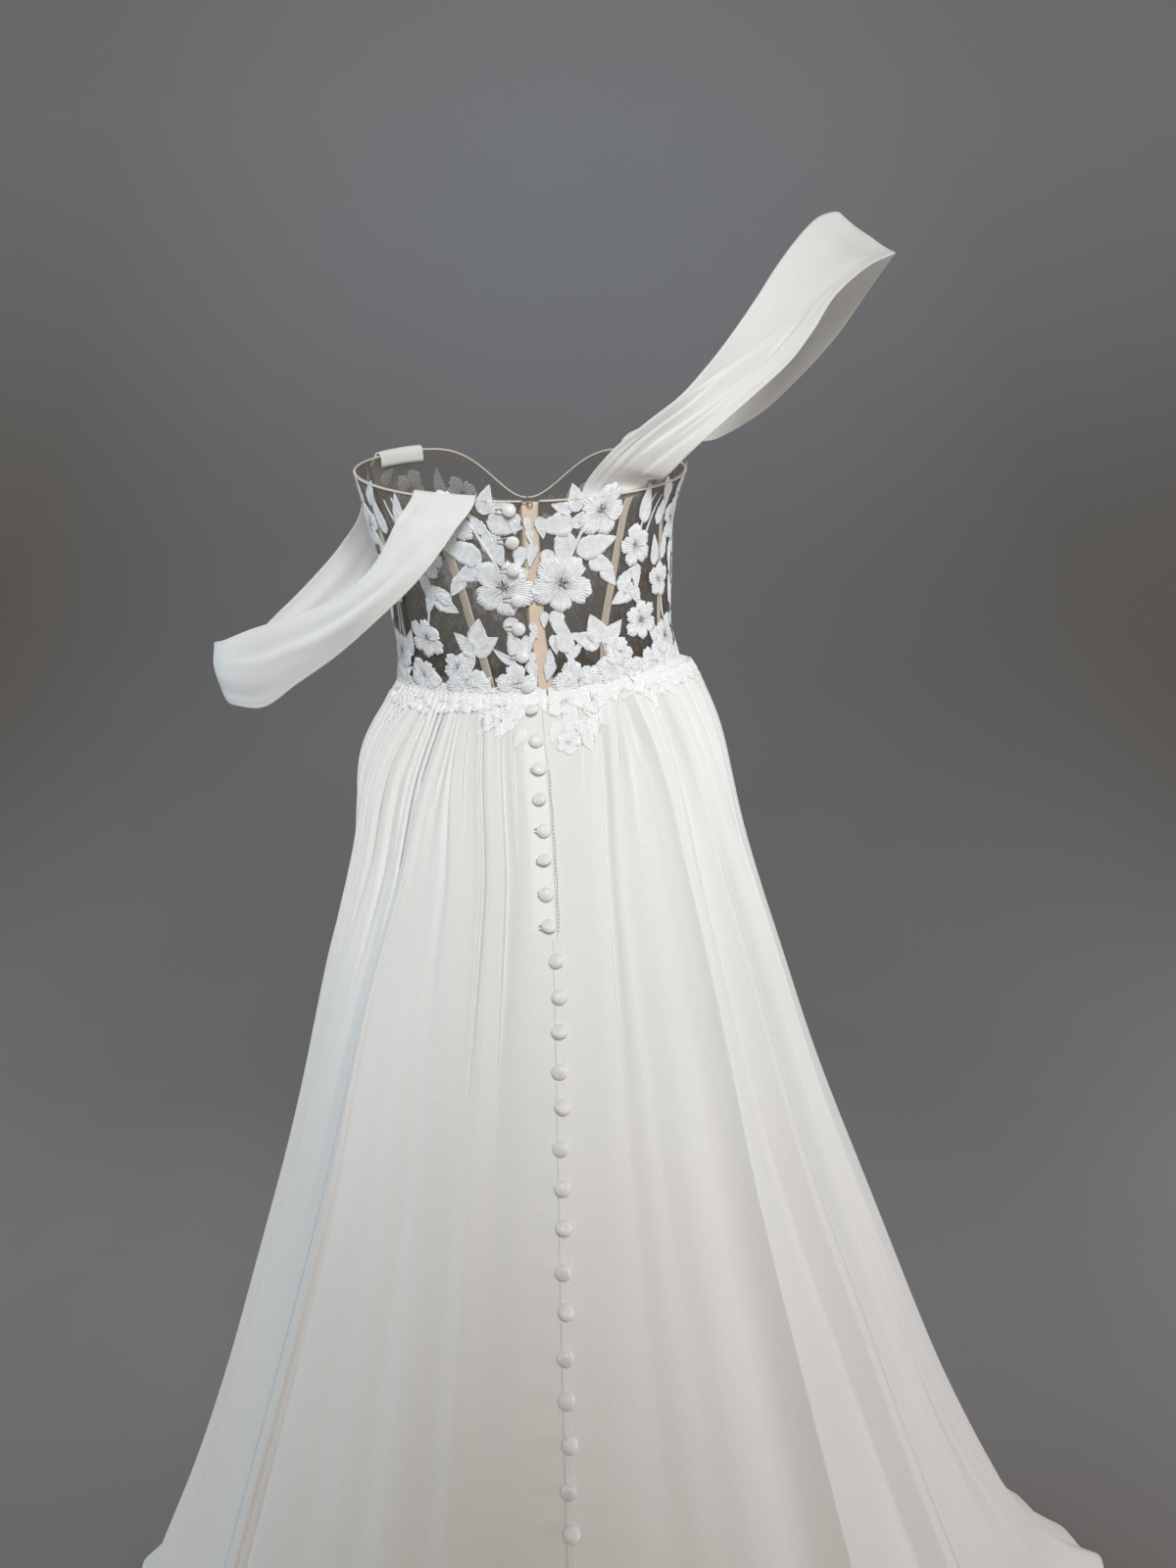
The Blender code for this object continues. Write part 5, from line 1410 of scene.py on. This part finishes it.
def make_bodice_lace():
    """Embroidered flowers, leaves and stems on every panel of the bodice."""
    piles = {}
    rows = [row + (LACE_LINE, MOTIF_SCALE) for row in BACK_LACE]
    rows += [row + (0.0, MOTIF_SCALE) for row in SIDE_LACE]
    rows += [row + (0.0, 1.0) for row in waist_run()]
    stems = [(points, LACE_LINE) for points in BACK_STEMS] + [(points, 0.0) for points in SIDE_STEMS]
    singles = [(row[0], -row[1]) + row[2:] + (0.0, 1.0) for row in SINGLE_LACE]
    for mirrored in (False, True):
        side = 1.0 if mirrored else -1.0
        motifs = rows if mirrored else rows + singles
        for number, (kind, away, share, size, other, turn, line, scale) in enumerate(motifs):
            seed = number * 1.3 + (0.7 if mirrored else 0.0)
            shift = 1.1 * math.sin(3.1 * seed)
            angle = line + side * (away + shift)
            place = share + 0.012 * math.sin(5.3 * seed)
            pile = piles.setdefault(panel_of(angle), Pile())
            width = other * scale if kind == "leaf" else other
            lean = turn + 7.0 * math.sin(seed)
            for points, faces, uv in motif_shapes(kind, size * scale, width, lean, seed):
                faces = faces if mirrored else faces[:, ::-1]
                pile.add(on_bodice(points, angle, place, mirrored), faces, uv)
        for (first, middle, last, width), line in stems:
            angle = line + side * middle[0]
            scale = np.array(bodice_scale(angle, middle[1])) / MM
            line_points = [(np.array(place) - middle) * scale for place in (first, middle, last)]
            points, faces, uv = stem(line_points, width)
            faces = faces if mirrored else faces[:, ::-1]
            pile = piles.setdefault(panel_of(angle), Pile())
            pile.add(on_bodice(points, angle, middle[1], mirrored), faces, uv)
    laces = {}
    for panel, pile in sorted(piles.items()):
        lace = pile.laid(bodice_lifted).build(panel + "_lace", MATERIALS["lace"])
        thicken(lace, LACE_WALL, -1.0)
        laces[panel] = settle(lace)
    return laces


def make_bodice(laces, trims):
    """Six panels of sheer net; the lace and trims passed in are not used."""
    back_edge, side_edge = PANEL_EDGES
    # panel, first angle, last angle, width and length of its cut, area of its cut
    panels = (
        ("bodice_back_left", 0.0, back_edge, (0.080, 0.160), 0.0120),
        ("bodice_side_left", back_edge, side_edge, (0.142, 0.180), 0.0232),
        ("bodice_front_left", side_edge, 180.0, (0.168, 0.228), 0.0317),
        ("bodice_front_right", 180.0, 360.0 - side_edge, (0.168, 0.228), 0.0317),
        ("bodice_side_right", 360.0 - side_edge, 360.0 - back_edge, (0.142, 0.180), 0.0232),
        ("bodice_back_right", 360.0 - back_edge, 360.0 + OPENING_ANGLE, (0.068, 0.155), 0.0096),
    )
    shares = np.linspace(0.0, 1.0, NET_ROWS)
    for name, first, last, flat, area in panels:
        angles = np.linspace(first, last, max(8, math.ceil((last - first) / NET_STEP)))
        grid_angles, grid_shares = np.meshgrid(angles, shares)
        points = bodice_lifted(grid_angles, grid_shares, np.full(grid_angles.shape, NET_LIFT))
        uv = np.stack([grid_angles * NET_PER_DEGREE, grid_shares * 0.16], -1)
        net = grid_object(name + "_net", points, MATERIALS["tulle"], uv)
        thicken(net, NET_WALL)
        settle(net, (name,))


def ribbon_on_bodice(name, edges, shares, lift, material, node, steps=5, lean=0.0):
    """A ribbon on the bodice between two angles, along shares of the height; it may lean to one side."""
    across = np.linspace(0.0, 1.0, steps)
    grid_shares, grid_across = np.meshgrid(shares, across, indexing="ij")
    grid_angles = edges[0] + (edges[1] - edges[0]) * grid_across + lean * grid_shares
    crown = 0.25 * MM * np.sin(math.pi * grid_across) * np.sign(lift)
    if steps > 5:
        waves = np.sin(31.0 * grid_shares + 3.0 * grid_across) * np.sin(17.0 * grid_shares)
        crown = crown + 0.35 * MM * waves
    points = bodice_lifted(grid_angles, grid_shares, lift + crown)
    along = run_length(points[:, 0])
    uv = paired(along[:, None], across[None, :])
    ribbon = grid_object(name, points, material, uv)
    thicken(ribbon, RIBBON_WALL)
    return settle(ribbon, (node,))


def binding_of_edge(side, first, last):
    """A narrow binding folded over the top edge."""
    angles = np.linspace(first, last, 120)
    turn = np.linspace(-1.25, 1.25, 9) * math.pi / 2.0
    grid_turn, grid_angles = np.meshgrid(turn, angles, indexing="ij")
    half = 1.0 * MM
    points = bodice_lifted(grid_angles, np.ones(grid_angles.shape), 1.1 * half * np.sin(grid_turn))
    points[..., 2] += half * np.cos(grid_turn) - 0.6 * MM
    uv = np.stack([grid_angles * NET_PER_DEGREE, 0.5 + grid_turn / math.pi * 0.4], -1)
    binding = grid_object("top_binding_%s_ribbon" % side, points, MATERIALS["binding"], uv, flip=True)
    thicken(binding, BINDING_WALL)
    return settle(binding, ("top_binding_" + side,))


def make_bodice_trim():
    """Boning channels inside, the placket behind the opening and the binding of the top edge."""
    inside = -(BODICE_WALL / 2.0 + SEAM_GAP)
    trims = {}
    for side, number, low_angle, high_angle in BONING:
        node = "boning_%s_%d" % (side, number)
        edges = (low_angle - BONING_HALF_ANGLE, low_angle + BONING_HALF_ANGLE)
        bone = ribbon_on_bodice(node + "_ribbon", edges, np.linspace(*BONING_SPAN, 26), BONE_LIFT,
                                MATERIALS["nude"], node, lean=high_angle - low_angle)
        trims.setdefault(panel_of(0.99 * low_angle), []).append(bone)
    placket = ribbon_on_bodice("placket_ribbon", PLACKET_SHOWN, np.linspace(0.0, 0.995, 60), inside,
                               MATERIALS["placket"], "placket", 9)
    trims["bodice_back_right"].append(placket)
    trims["bodice_back_left"].append(binding_of_edge("left", 0.2, 179.8))
    trims["bodice_back_right"].append(binding_of_edge("right", 180.2, 359.8 + OPENING_ANGLE))
    return trims


# ---------------------------------------------------------------- waist lace on the skirt

# node, angles round the waist that it spans
WAIST_LACE = (
    ("lace_waist_back_left", -3.0, 36.0),
    ("lace_waist_side_left", 36.0, 108.0),
    ("lace_waist_front", 108.0, 252.0),
    ("lace_waist_side_right", 252.0, 324.0),
    ("lace_waist_back_right", 324.0, 357.0),
)
# kind, angle round the waist, mm below the seam, size in mm, petals or width, turn
WAIST_MOTIFS = (
    ("flower", -8.5, 9.0, 15.0, 5, 10.0),
    ("flower", -19.0, 9.0, 15.0, 5, 40.0),
    ("flower", -9.5, 46.0, 11.0, 5, 20.0),
    ("leaf", -16.5, 13.0, 24.0, 14.0, 150.0),
    ("leaf", -21.5, 12.0, 25.0, 13.0, 172.0),
    ("leaf", -11.0, 16.0, 26.0, 15.0, 190.0),
    ("leaf", -18.5, 26.0, 21.0, 12.0, 190.0),
    ("leaf", -13.5, 26.0, 20.0, 12.0, 158.0),
    ("leaf", -6.5, 24.0, 22.0, 11.0, 186.0),
    ("leaf", -15.5, 40.0, 17.0, 10.0, 172.0),
    ("flower", 6.5, 9.0, 14.0, 5, -12.0),
    ("flower", 15.0, 9.0, 14.0, 5, 30.0),
    ("flower", 25.0, 7.0, 12.0, 5, 66.0),
    ("leaf", 11.5, 12.0, 27.0, 15.0, 188.0),
    ("leaf", 8.0, 16.0, 27.0, 14.0, 204.0),
    ("leaf", 14.5, 16.0, 26.0, 13.0, 206.0),
    ("leaf", 18.5, 12.0, 20.0, 12.0, 176.0),
    ("leaf", 5.5, 30.0, 18.0, 10.0, 196.0),
    ("leaf", 3.4, 42.0, 18.0, 8.0, 182.0),
    ("leaf", 58.0, 8.0, 30.0, 13.0, 190.0),
    ("leaf", 66.0, 8.0, 34.0, 12.0, 176.0),
)


def waist_rows():
    """All motifs along the waist seam: the table's at the back, then a plain run round the rest."""
    rows = list(WAIST_MOTIFS)
    for number in range(24):
        angle = 36.0 + number * 12.0
        size = 13.5 + 1.5 * math.sin(2.0 * number)
        rows.append(("flower", angle, 8.0 + 2.0 * math.sin(number), size, 5, 23.0 * number))
        length = 22.0 + 5.0 * math.sin(1.7 * number)
        rows.append(("leaf", angle + 7.0, 8.0, length, 11.0, 176.0 + 20.0 * math.sin(number)))
        rows.append(("leaf", angle + 11.0, 6.0, 18.0, 10.0, 120.0 + 120.0 * (number % 2)))
    for angle in (176.0, 184.0):
        rows.append(("leaf", angle, 16.0, 30.0, 14.0, 180.0))
    return rows


def on_skirt(shape, centre_angle, below, base):
    """Angle, fraction and lift of a flat motif, in mm, below the waist seam; its x runs to the right."""
    fraction = below * MM / BACK_LENGTH
    middle = envelope(np.array(centre_angle), np.array(fraction))
    beside = envelope(np.array(centre_angle + 1.0), np.array(fraction))
    per_degree = np.linalg.norm(beside - middle)
    angle = centre_angle - shape[..., 0] * MM / per_degree
    place = np.maximum(fraction - shape[..., 1] * MM / BACK_LENGTH, 0.0008)
    return np.stack([angle, place, base + shape[..., 2] * APPLIQUE_RELIEF * MM], -1)


def skirt_lifted(angle, fraction, lift):
    """Points of the folded skirt moved out by a lift."""
    point, outward = skirt_placed(angle, fraction)
    return point + outward * lift[..., None]


def make_waist_lace():
    """Appliques that run from the bodice over the seam onto the skirt."""
    piles = {name: Pile() for name, _, _ in WAIST_LACE}
    for number, (kind, angle, below, size, other, turn) in enumerate(waist_rows()):
        name = next(node for node, first, last in WAIST_LACE
                    if first <= angle < last or first <= angle + 360.0 < last)
        for points, faces, uv in motif_shapes(kind, size, other, turn + 5.0 * math.sin(number), 1.9 * number):
            piles[name].add(on_skirt(points, angle, below, TRIM_BASE), faces[:, ::-1], uv)
    for name, first, last in WAIST_LACE:
        piles[name].laid(skirt_lifted)
        piles[name].add(*seam_band(first + 0.3, last - 0.3))
        lace = piles[name].build(name + "_applique", MATERIALS["applique"])
        thicken(lace, APPLIQUE_WALL, -1.0)
        settle(lace, (name,))


def seam_band(first, last):
    """A scalloped strip of close embroidery over the waist seam, from the bodice onto the skirt."""
    angles = np.linspace(first, last, max(24, math.ceil((last - first) * (3.0))))
    wave = 1.0 + 0.30 * np.sin(np.radians(angles) * 31.0) + 0.14 * np.sin(np.radians(angles) * 67.0)
    # share of the bodice's height, then fraction of the skirt's length, each with its lift
    above = ((0.034, 0.9), (0.030, 1.3), (0.016, 1.4), (0.004, 1.7))
    below = ((0.0020, 1.7), (0.0045, 1.4), (0.0080, 1.3), (0.0084, 0.7))
    rows = [bodice_lifted(angles, share * wave, np.full(angles.shape, lift * MM)) for share, lift in above]
    rows += [skirt_lifted(angles, place * (2.0 - wave), np.full(angles.shape, lift * MM))
             for place, lift in below]
    points = np.array(rows)
    depth = np.linspace(0.0, 16.0, len(rows))[:, None]
    uv = paired(depth + 3.0 * np.sin(angles * 0.9)[None, :], 0.5)
    return points, grid_faces(len(rows), len(angles), flip=True), uv


# ---------------------------------------------------------------- closure

def line_frame(fraction, distance, lift):
    """Points a distance to the left of the centre back line, lifted off the skirt."""
    fraction = np.asarray(fraction, float)
    distance = np.broadcast_to(np.asarray(distance, float), fraction.shape)
    middle = grain_lookup(np.full(fraction.shape, BACK_LINE), log_depth(fraction), True)
    step = np.linalg.norm(envelope(middle + 0.5, fraction) - envelope(middle - 0.5, fraction), axis=-1)
    point, outward = skirt_placed(middle + distance / step, fraction)
    return point + outward * np.asarray(lift, float)[..., None], outward


def along_line(fraction, distance, lift):
    """Points along the centre back line, at one lift."""
    point, _ = line_frame(fraction, distance, np.full(fraction.shape, lift))
    return point


def back_strip(name, edges, span, base, thickness, material, nodes, rows, columns=7, rim_share=0.08):
    """A strip along the centre back line with rounded edges."""
    fractions = np.linspace(span[0], span[1], rows)
    across = np.linspace(0.0, 1.0, columns)
    grid_fraction, grid_across = np.meshgrid(fractions, across, indexing="ij")
    distance = edges[0] + (edges[1] - edges[0]) * grid_across
    rim = np.minimum(np.minimum(grid_across, 1.0 - grid_across) / rim_share,
                     np.minimum(grid_fraction - span[0], span[1] - grid_fraction) / (0.02 * rim_share))
    puff = (thickness + base) * np.sin(math.pi / 2.0 * np.clip(rim, 0.0, 1.0))**0.6
    points, _ = line_frame(grid_fraction, distance, puff - 0.1 * MM)
    uv = np.stack([grid_fraction * BACK_LENGTH, grid_across], -1)
    strip = grid_object(name, points, material, uv, flip=True)
    return settle(strip, nodes)


def make_closure():
    """The button stand and zip at the top of the back seam, then the narrow tape to the hem."""
    base = TRIM_BASE
    stand = back_strip("button_stand_cloth", STAND_EDGES, (0.030, STAND_SPAN[1]), base, 0.5 * MM,
                       MATERIALS["stand"], ("button_stand",), 90, 25, 0.26)
    back_strip("button_tape_cloth", TAPE_EDGES, (STAND_SPAN[1] + 0.001, 0.995), base, 0.3 * MM,
               MATERIALS["crepe"], ("button_tape",), 300, 9, 0.12)
    coil = back_strip("zip_tape_cloth", ZIP_EDGES, (0.034, STAND_SPAN[1]), base * 0.9, 0.1 * MM,
                      MATERIALS["crepe"], ("zip",), 60, 9, 0.3)
    teeth = Pile()
    rows = np.arange(0.046, STAND_SPAN[1] - 0.002, TOOTH_PITCH / BACK_LENGTH)
    wander = 0.0003 * np.sin(37.0 * np.arange(len(rows)))
    tooth = np.array((0.0, TOOTH_LENGTH / BACK_LENGTH))
    for seat in along_line(rows[:, None] + tooth, (wander - 0.0016)[:, None], base + 0.35 * MM):
        teeth.add(*tube(seat, 0.34 * MM, 5))
    settle(teeth.build("zip_teeth", MATERIALS["zip"]))
    stitches = Pile()
    starts = np.arange(*STITCH_SPAN, STITCH_PITCH / BACK_LENGTH)[:, None]
    ends = starts + np.array((0.0, STITCH_LENGTH / BACK_LENGTH))
    for distance in (-STITCH_DISTANCE, STITCH_DISTANCE):
        for seat in along_line(ends, distance, base + 0.85 * MM):
            stitches.add(*tube(seat, 0.14 * MM, 4))
    settle(stitches.build("back_seam_stitches", MATERIALS["thread"]))


# ---------------------------------------------------------------- buttons

def button_mesh(seed):
    """A covered button: shank, flat back and a slightly uneven dome, along +Z, with uv."""
    profile = np.array(((0.0, 1.0), (0.25, 0.985), (0.45, 0.95), (0.64, 0.89), (0.80, 0.80),
                        (0.92, 0.68), (0.99, 0.53), (1.0, 0.43), (0.95, 0.34), (0.84, 0.30),
                        (0.62, 0.29), (0.30, 0.29), (0.26, 0.15), (0.27, 0.0), (0.0, 0.0)))
    sides = 24
    turn = np.arange(sides) * 2.0 * math.pi / sides
    puckers = 0.018 * np.sin(9.0 * turn + seed) * (profile[:, 0] > 0.75)[:, None]
    radius = (profile[:, :1] + puckers) * BUTTON_RADIUS
    points = paired(radius * np.cos(turn), radius * np.sin(turn), profile[:, 1:] * BUTTON_HEIGHT)
    return points.reshape(-1, 3), ring_faces(len(profile), sides, flip=True)


def button_axis(outward, number):
    """Direction of a button; each leans a little, as sewn-on buttons do."""
    lean = math.radians(BUTTON_TILT)
    side = unit(np.cross((0.0, 0.0, 1.0), outward))
    up = np.cross(outward, side)
    axis = outward + side * math.tan(lean * math.sin(2.4 * number)) + up * math.tan(
        lean * math.sin(3.7 * number + 1.0))
    return unit(axis)


def place_button(pile, seat, outward, number):
    """Put one button into a pile."""
    axis = button_axis(unit(np.asarray(outward)), number)
    side = unit(np.cross((0.0, 0.0, 1.0), axis))
    up = np.cross(axis, side)
    points, faces = button_mesh(1.3 * number)
    placed = seat + points[:, :1] * side + points[:, 1:2] * up + points[:, 2:] * axis
    pile.add(placed, faces, points[:, :2] / MM)


def loop_at(pile, seat, outward, side, reach):
    """An elastic loop round a button's shank, from the opening's edge."""
    turn = np.linspace(-1.9, 1.9, 15)
    up = np.cross(outward, side)
    ring = 0.0030
    path = (seat[None, :] + outward[None, :] * 0.0011
            + side[None, :] * (-ring * np.cos(turn))[:, None] + up[None, :] * (ring * np.sin(turn))[:, None])
    ends = seat + outward * 0.0008 + side * reach
    path = np.concatenate([[ends - up * 0.0012], path, [ends + up * 0.0012]])
    pile.add(*tube(path, 0.5 * MM, 6))


def make_buttons():
    """Seven buttons on the bodice, the row down the skirt and its run out along the train."""
    bodice = Pile()
    loops = Pile()
    seat_gap = SEAM_GAP + 0.0002
    for number in range(BODICE_BUTTONS):
        share = FIRST_BODICE_BUTTON - number * BODICE_BUTTON_STEP
        base, outward = bodice_placed(np.array(BODICE_BUTTON_ANGLE), np.array(share))
        seat = base + outward * (BODICE_WALL / 2.0 + seat_gap)
        place_button(bodice, seat, outward, number)
        side = unit(np.cross(outward, (0.0, 0.0, 1.0)))
        loop_at(loops, seat, outward, side, BODICE_LOOP_REACH)
    thing = bodice.build("bodice_buttons", MATERIALS["satin"])
    settle(thing, ["button_bodice_%d" % (number + 1) for number in range(BODICE_BUTTONS)])
    skirt = Pile()
    places = (FIRST_SKIRT_BUTTON + np.arange(SKIRT_BUTTONS + TRAIN_BUTTONS) * BUTTON_PITCH) / BACK_LENGTH
    layers = SKIRT_WALL / 2.0 + np.where(places > STAND_SPAN[0], 1.6 * MM, 1.1 * MM)
    shift = np.where(places < STAND_SPAN[1], STAND_BUTTON_SHIFT, 0.0)
    seats, outwards = line_frame(places, shift, layers)
    for number, (seat, outward) in enumerate(zip(seats, outwards)):
        place_button(skirt, seat, outward, number + BODICE_BUTTONS)
        if STAND_SPAN[0] < places[number] < STAND_SPAN[1]:
            side = unit(np.cross(outward, (0.0, 0.0, 1.0)))
            loop_at(loops, seat, outward, side, SKIRT_LOOP_REACH)
    thing = skirt.build("skirt_buttons", MATERIALS["satin"])
    settle(thing, ["button_skirt_%02d" % (number + 1) for number in range(SKIRT_BUTTONS)])
    settle(loops.build("button_loops", MATERIALS["thread"]))


def make_hook():
    """Hook and eye at the top of the opening, and a few frayed threads on the top edge."""
    pile = Pile()
    base, outward = bodice_placed(np.array(-0.8), np.array(0.985))
    side = unit(np.cross(outward, (0.0, 0.0, 1.0)))
    up = np.array((0.0, 0.0, 1.0))
    turn = np.linspace(0.0, math.pi, 12)
    bend = [base + outward * 0.0016 + side * 0.0035 * math.cos(t) + up * 0.0016 * math.sin(t) for t in turn]
    pile.add(*tube(np.array([base + outward * 0.0016 + side * 0.0050 - up * 0.0030] + bend), 0.45 * MM, 6))
    eye = [base + outward * 0.0012 + side * (0.0022 * math.cos(t) - 0.0040) + up * 0.0022 * math.sin(t)
           for t in np.linspace(0.0, 2.0 * math.pi, 14)]
    pile.add(*tube(np.array(eye), 0.4 * MM, 6, closed_ends=False))
    settle(pile.build("hook_and_eye", MATERIALS["steel"]))
    threads = Pile()
    random = np.random.default_rng(11)
    for angle in (30.0, 27.5, 17.0, 14.0, 9.0, -9.0, -10.5, -12.0, -1.5):
        start = bodice_lifted(np.array(angle), np.array(1.0), np.array(0.0003)) + np.array((0.0, 0.0, 0.0005))
        lean = random.uniform(-1.0, 1.0)
        t = np.linspace(0.0, 1.0, 8)
        reach = random.uniform(0.003, 0.007)
        rise = reach * (t - 0.35 * t**3)
        path = start + np.stack([lean * reach * t, 0.2 * reach * np.sin(3.0 * t), rise], -1)
        threads.add(*tube(path, 0.11 * MM, 4))
    settle(threads.build("frayed_threads", MATERIALS["thread"]))


# ---------------------------------------------------------------- sleeves

def sewn_rows(angles, folds_over, columns):
    """Rows of a sleeve's end, from inside the top edge up and, where it folds over, down outside."""
    inside = -(BODICE_WALL + SLEEVE_WALL) / 2.0 - EDGE_CLEARANCE
    outside = -inside + TRIM_WALL + EDGE_CLEARANCE
    top = SLEEVE_WALL + 2.0 * EDGE_CLEARANCE
    stations = [(0.95, inside, 0.0), (1.0, inside, 0.0)]
    if folds_over:
        stations += [(1.0, inside / 4.0, top), (1.0, outside / 2.0, top), (1.0, outside, 0.0)]
    else:
        stations.append((1.0, inside, 0.4 * top))
    across = np.linspace(angles[0], angles[1], columns)
    rows = []
    for share, lift, above in stations:
        row = bodice_lifted(across, np.full(columns, share), np.full(columns, lift))
        rows.append(row + np.array((0.0, 0.0, above)))
    return rows


def table_rows(table, columns):
    """Cross rows of a sleeve from its table: two edges with a low crown between them."""
    rows = []
    for index, row in enumerate(table):
        inner = np.array(row[0:3])
        outer = np.array(row[3:6])
        before = table[max(index - 1, 0)]
        after = table[min(index + 1, len(table) - 1)]
        along = np.array(after[0:3]) - np.array(before[0:3])
        face = unit(np.cross(along, outer - inner))
        shares = np.linspace(0.0, 1.0, columns)[:, None]
        rows.append(inner * (1.0 - shares) + outer * shares + face * row[6] * np.sin(math.pi * shares))
    return rows


def sleeve_relief(name, along, across):
    """Rise of a sleeve's creases and of its turned edges, in metres."""
    rise = np.zeros(along.shape)
    for start, end, first, last, height, inner_width, outer_width in SLEEVE_CREASES[name]:
        share = np.clip((along - start) / (end - start), 0.0, 1.0)
        middle = first + (last - first) * share + 0.015 * np.sin(9.0 * along + height)
        span = end - start
        fade = ease(along, start, start + 0.25 * span) * (1.0 - ease(along, end - 0.3 * span, end))
        distance = across - middle
        width = np.where(distance < 0.0, inner_width, outer_width) * (0.75 + 0.5 * np.sin(math.pi * share))
        rise += height * MM * fade * np.exp(-(distance / width)**2)
    calm = ease(along, 0.0, 0.05) * (1.0 - ease(along, 0.95, 1.0))
    rise += 0.5 * MM * np.sin(17.0 * along + 5.0 * across) * np.sin(7.0 * across + 3.0) * calm
    hem = np.exp(-((np.minimum(across, 1.0 - across) - 0.045) / 0.012)**2)
    return rise * calm - 0.25 * MM * hem


def make_sleeves():
    """The two draped sleeves, each one band from the back edge round the arm to the front edge."""
    controls = 5
    columns = 57
    for name, table, back_angles, front_angles, folds_over in SLEEVES:
        rows = sewn_rows(back_angles, folds_over, controls) + table_rows(table, controls)
        rows = np.array(rows + sewn_rows(front_angles, folds_over, controls)[::-1])
        middles = rows.mean(axis=1)
        lengths = run_length(middles)
        reads = np.linspace(0.0, lengths[-1], 220)
        lofted = np.stack([np.stack([smooth(reads, lengths, rows[:, place, axis]) for axis in range(3)], -1)
                           for place in range(controls)], axis=1)
        across = np.linspace(0.0, 1.0, columns)
        knots = np.linspace(0.0, 1.0, controls)
        points = np.zeros((len(reads), columns, 3))
        for index in range(len(reads)):
            for axis in range(3):
                points[index, :, axis] = smooth(across, knots, lofted[index, :, axis])
        face = unit(np.cross(np.gradient(points, axis=0), np.gradient(points, axis=1)))
        share = np.broadcast_to((reads / lengths[-1])[:, None], points.shape[:2])
        grid_across = np.broadcast_to(across[None, :], points.shape[:2])
        points = points + face * sleeve_relief(name, share, grid_across)[..., None]
        uv = paired(reads[:, None], across[None, :] * 0.06)
        band = grid_object(name + "_cloth", points, MATERIALS["crepe"], uv)
        thicken(band, SLEEVE_CLOTH_WALL)
        settle(band, (name,))


# ---------------------------------------------------------------- stage

CAMERA_PLACE = (-0.0385, 1.031, 0.093)
CAMERA_PITCH = 10.0
CAMERA_LENS = 27.0
FRAME_HEIGHT_MM = 36.0


def make_camera():
    """The camera, behind the dress and a little above its waist."""
    data = bpy.data.cameras.new("camera")
    data.sensor_fit = "VERTICAL"
    data.sensor_height = FRAME_HEIGHT_MM
    data.lens = CAMERA_LENS
    data.clip_start = 0.01
    camera = bpy.data.objects.new("camera", data)
    camera.location = CAMERA_PLACE
    camera.rotation_euler = (math.radians(90.0 - CAMERA_PITCH), 0.0, math.radians(180.0))
    bpy.context.scene.collection.objects.link(camera)
    bpy.context.scene.camera = camera


def make_floor():
    """A pale floor that runs up into a backdrop in one sweep."""
    half = 5.0
    bend = 2.4
    depth = -1.4
    turn = np.linspace(0.0, math.pi / 2.0, 16)
    sweep = [(depth - bend * math.sin(t), bend * (1.0 - math.cos(t))) for t in turn]
    profile = [(6.0, 0.0)] + sweep + [(depth - bend, 5.0)]
    points = np.array([[(x, y, FLOOR + z) for x in (-half, half)] for y, z in profile])
    floor = grid_object("floor_and_backdrop", points, MATERIALS["floor"], flip=True)


def aim(light, place, target):
    """Put a light at a place and turn it to a target."""
    light.location = place
    direction = np.array(target) - np.array(place)
    level = math.hypot(direction[0], direction[1])
    heading = math.atan2(direction[1], direction[0]) - math.pi / 2.0
    light.rotation_euler = (math.atan2(level, -direction[2]), 0.0, heading)
    bpy.context.scene.collection.objects.link(light)


def add_panel(name, place, target, size, power, colour):
    """A soft square light aimed at a point."""
    data = bpy.data.lights.new(name, "AREA")
    data.shape = "SQUARE"
    data.size = size
    data.energy = power
    data.color = colour
    aim(bpy.data.objects.new(name, data), place, target)


def add_lamp(name, place, target, cone, power, colour):
    """A soft round lamp whose light fades towards the edge of its cone."""
    data = bpy.data.lights.new(name, "SPOT")
    data.spot_size = math.radians(cone)
    data.spot_blend = 1.0
    data.shadow_soft_size = 0.45
    data.energy = power
    data.color = colour
    aim(bpy.data.objects.new(name, data), place, target)


def make_light():
    """Soft studio light: a key above the camera, panels from both sides, low fills and a pale surround."""
    add_lamp("key", (-0.22, 1.88, 1.1), (0.0, 0.1, 0.09), 45.0, 163.0, (0.89, 0.945, 1.0))
    add_lamp("low_left", (1.1, 2.4, -0.2), (0.38, 0.1, -0.72), 24.0, 24.0, (1.0, 0.45, 0.25))
    add_panel("side_left", (2.5, -0.3, 0.2), (0.0, 0.0, -0.3), 1.6, 29.5, (0.68, 0.85, 1.0))
    add_panel("side_right", (-2.4, -0.4, 0.2), (0.0, 0.0, -0.3), 1.6, 20.8, (0.84, 0.93, 1.0))
    add_panel("low_right", (-2.4, 0.9, -0.6), (0.0, 0.3, -0.8), 1.2, 11.6, (1.0, 0.87, 0.90))
    world = bpy.data.worlds.new("surround")
    world.use_nodes = True
    background = world.node_tree.nodes["Background"]
    background.inputs["Color"].default_value = (1.0, 0.84, 0.64, 1.0)
    background.inputs["Strength"].default_value = 0.22
    bpy.context.scene.world = world
    bpy.context.scene.view_settings.view_transform = "Standard"


# ---------------------------------------------------------------- build

make_camera()
make_floor()
make_light()
make_skirt()
make_bodice(make_bodice_lace(), make_bodice_trim())
make_waist_lace()
make_closure()
make_buttons()
make_hook()
make_sleeves()
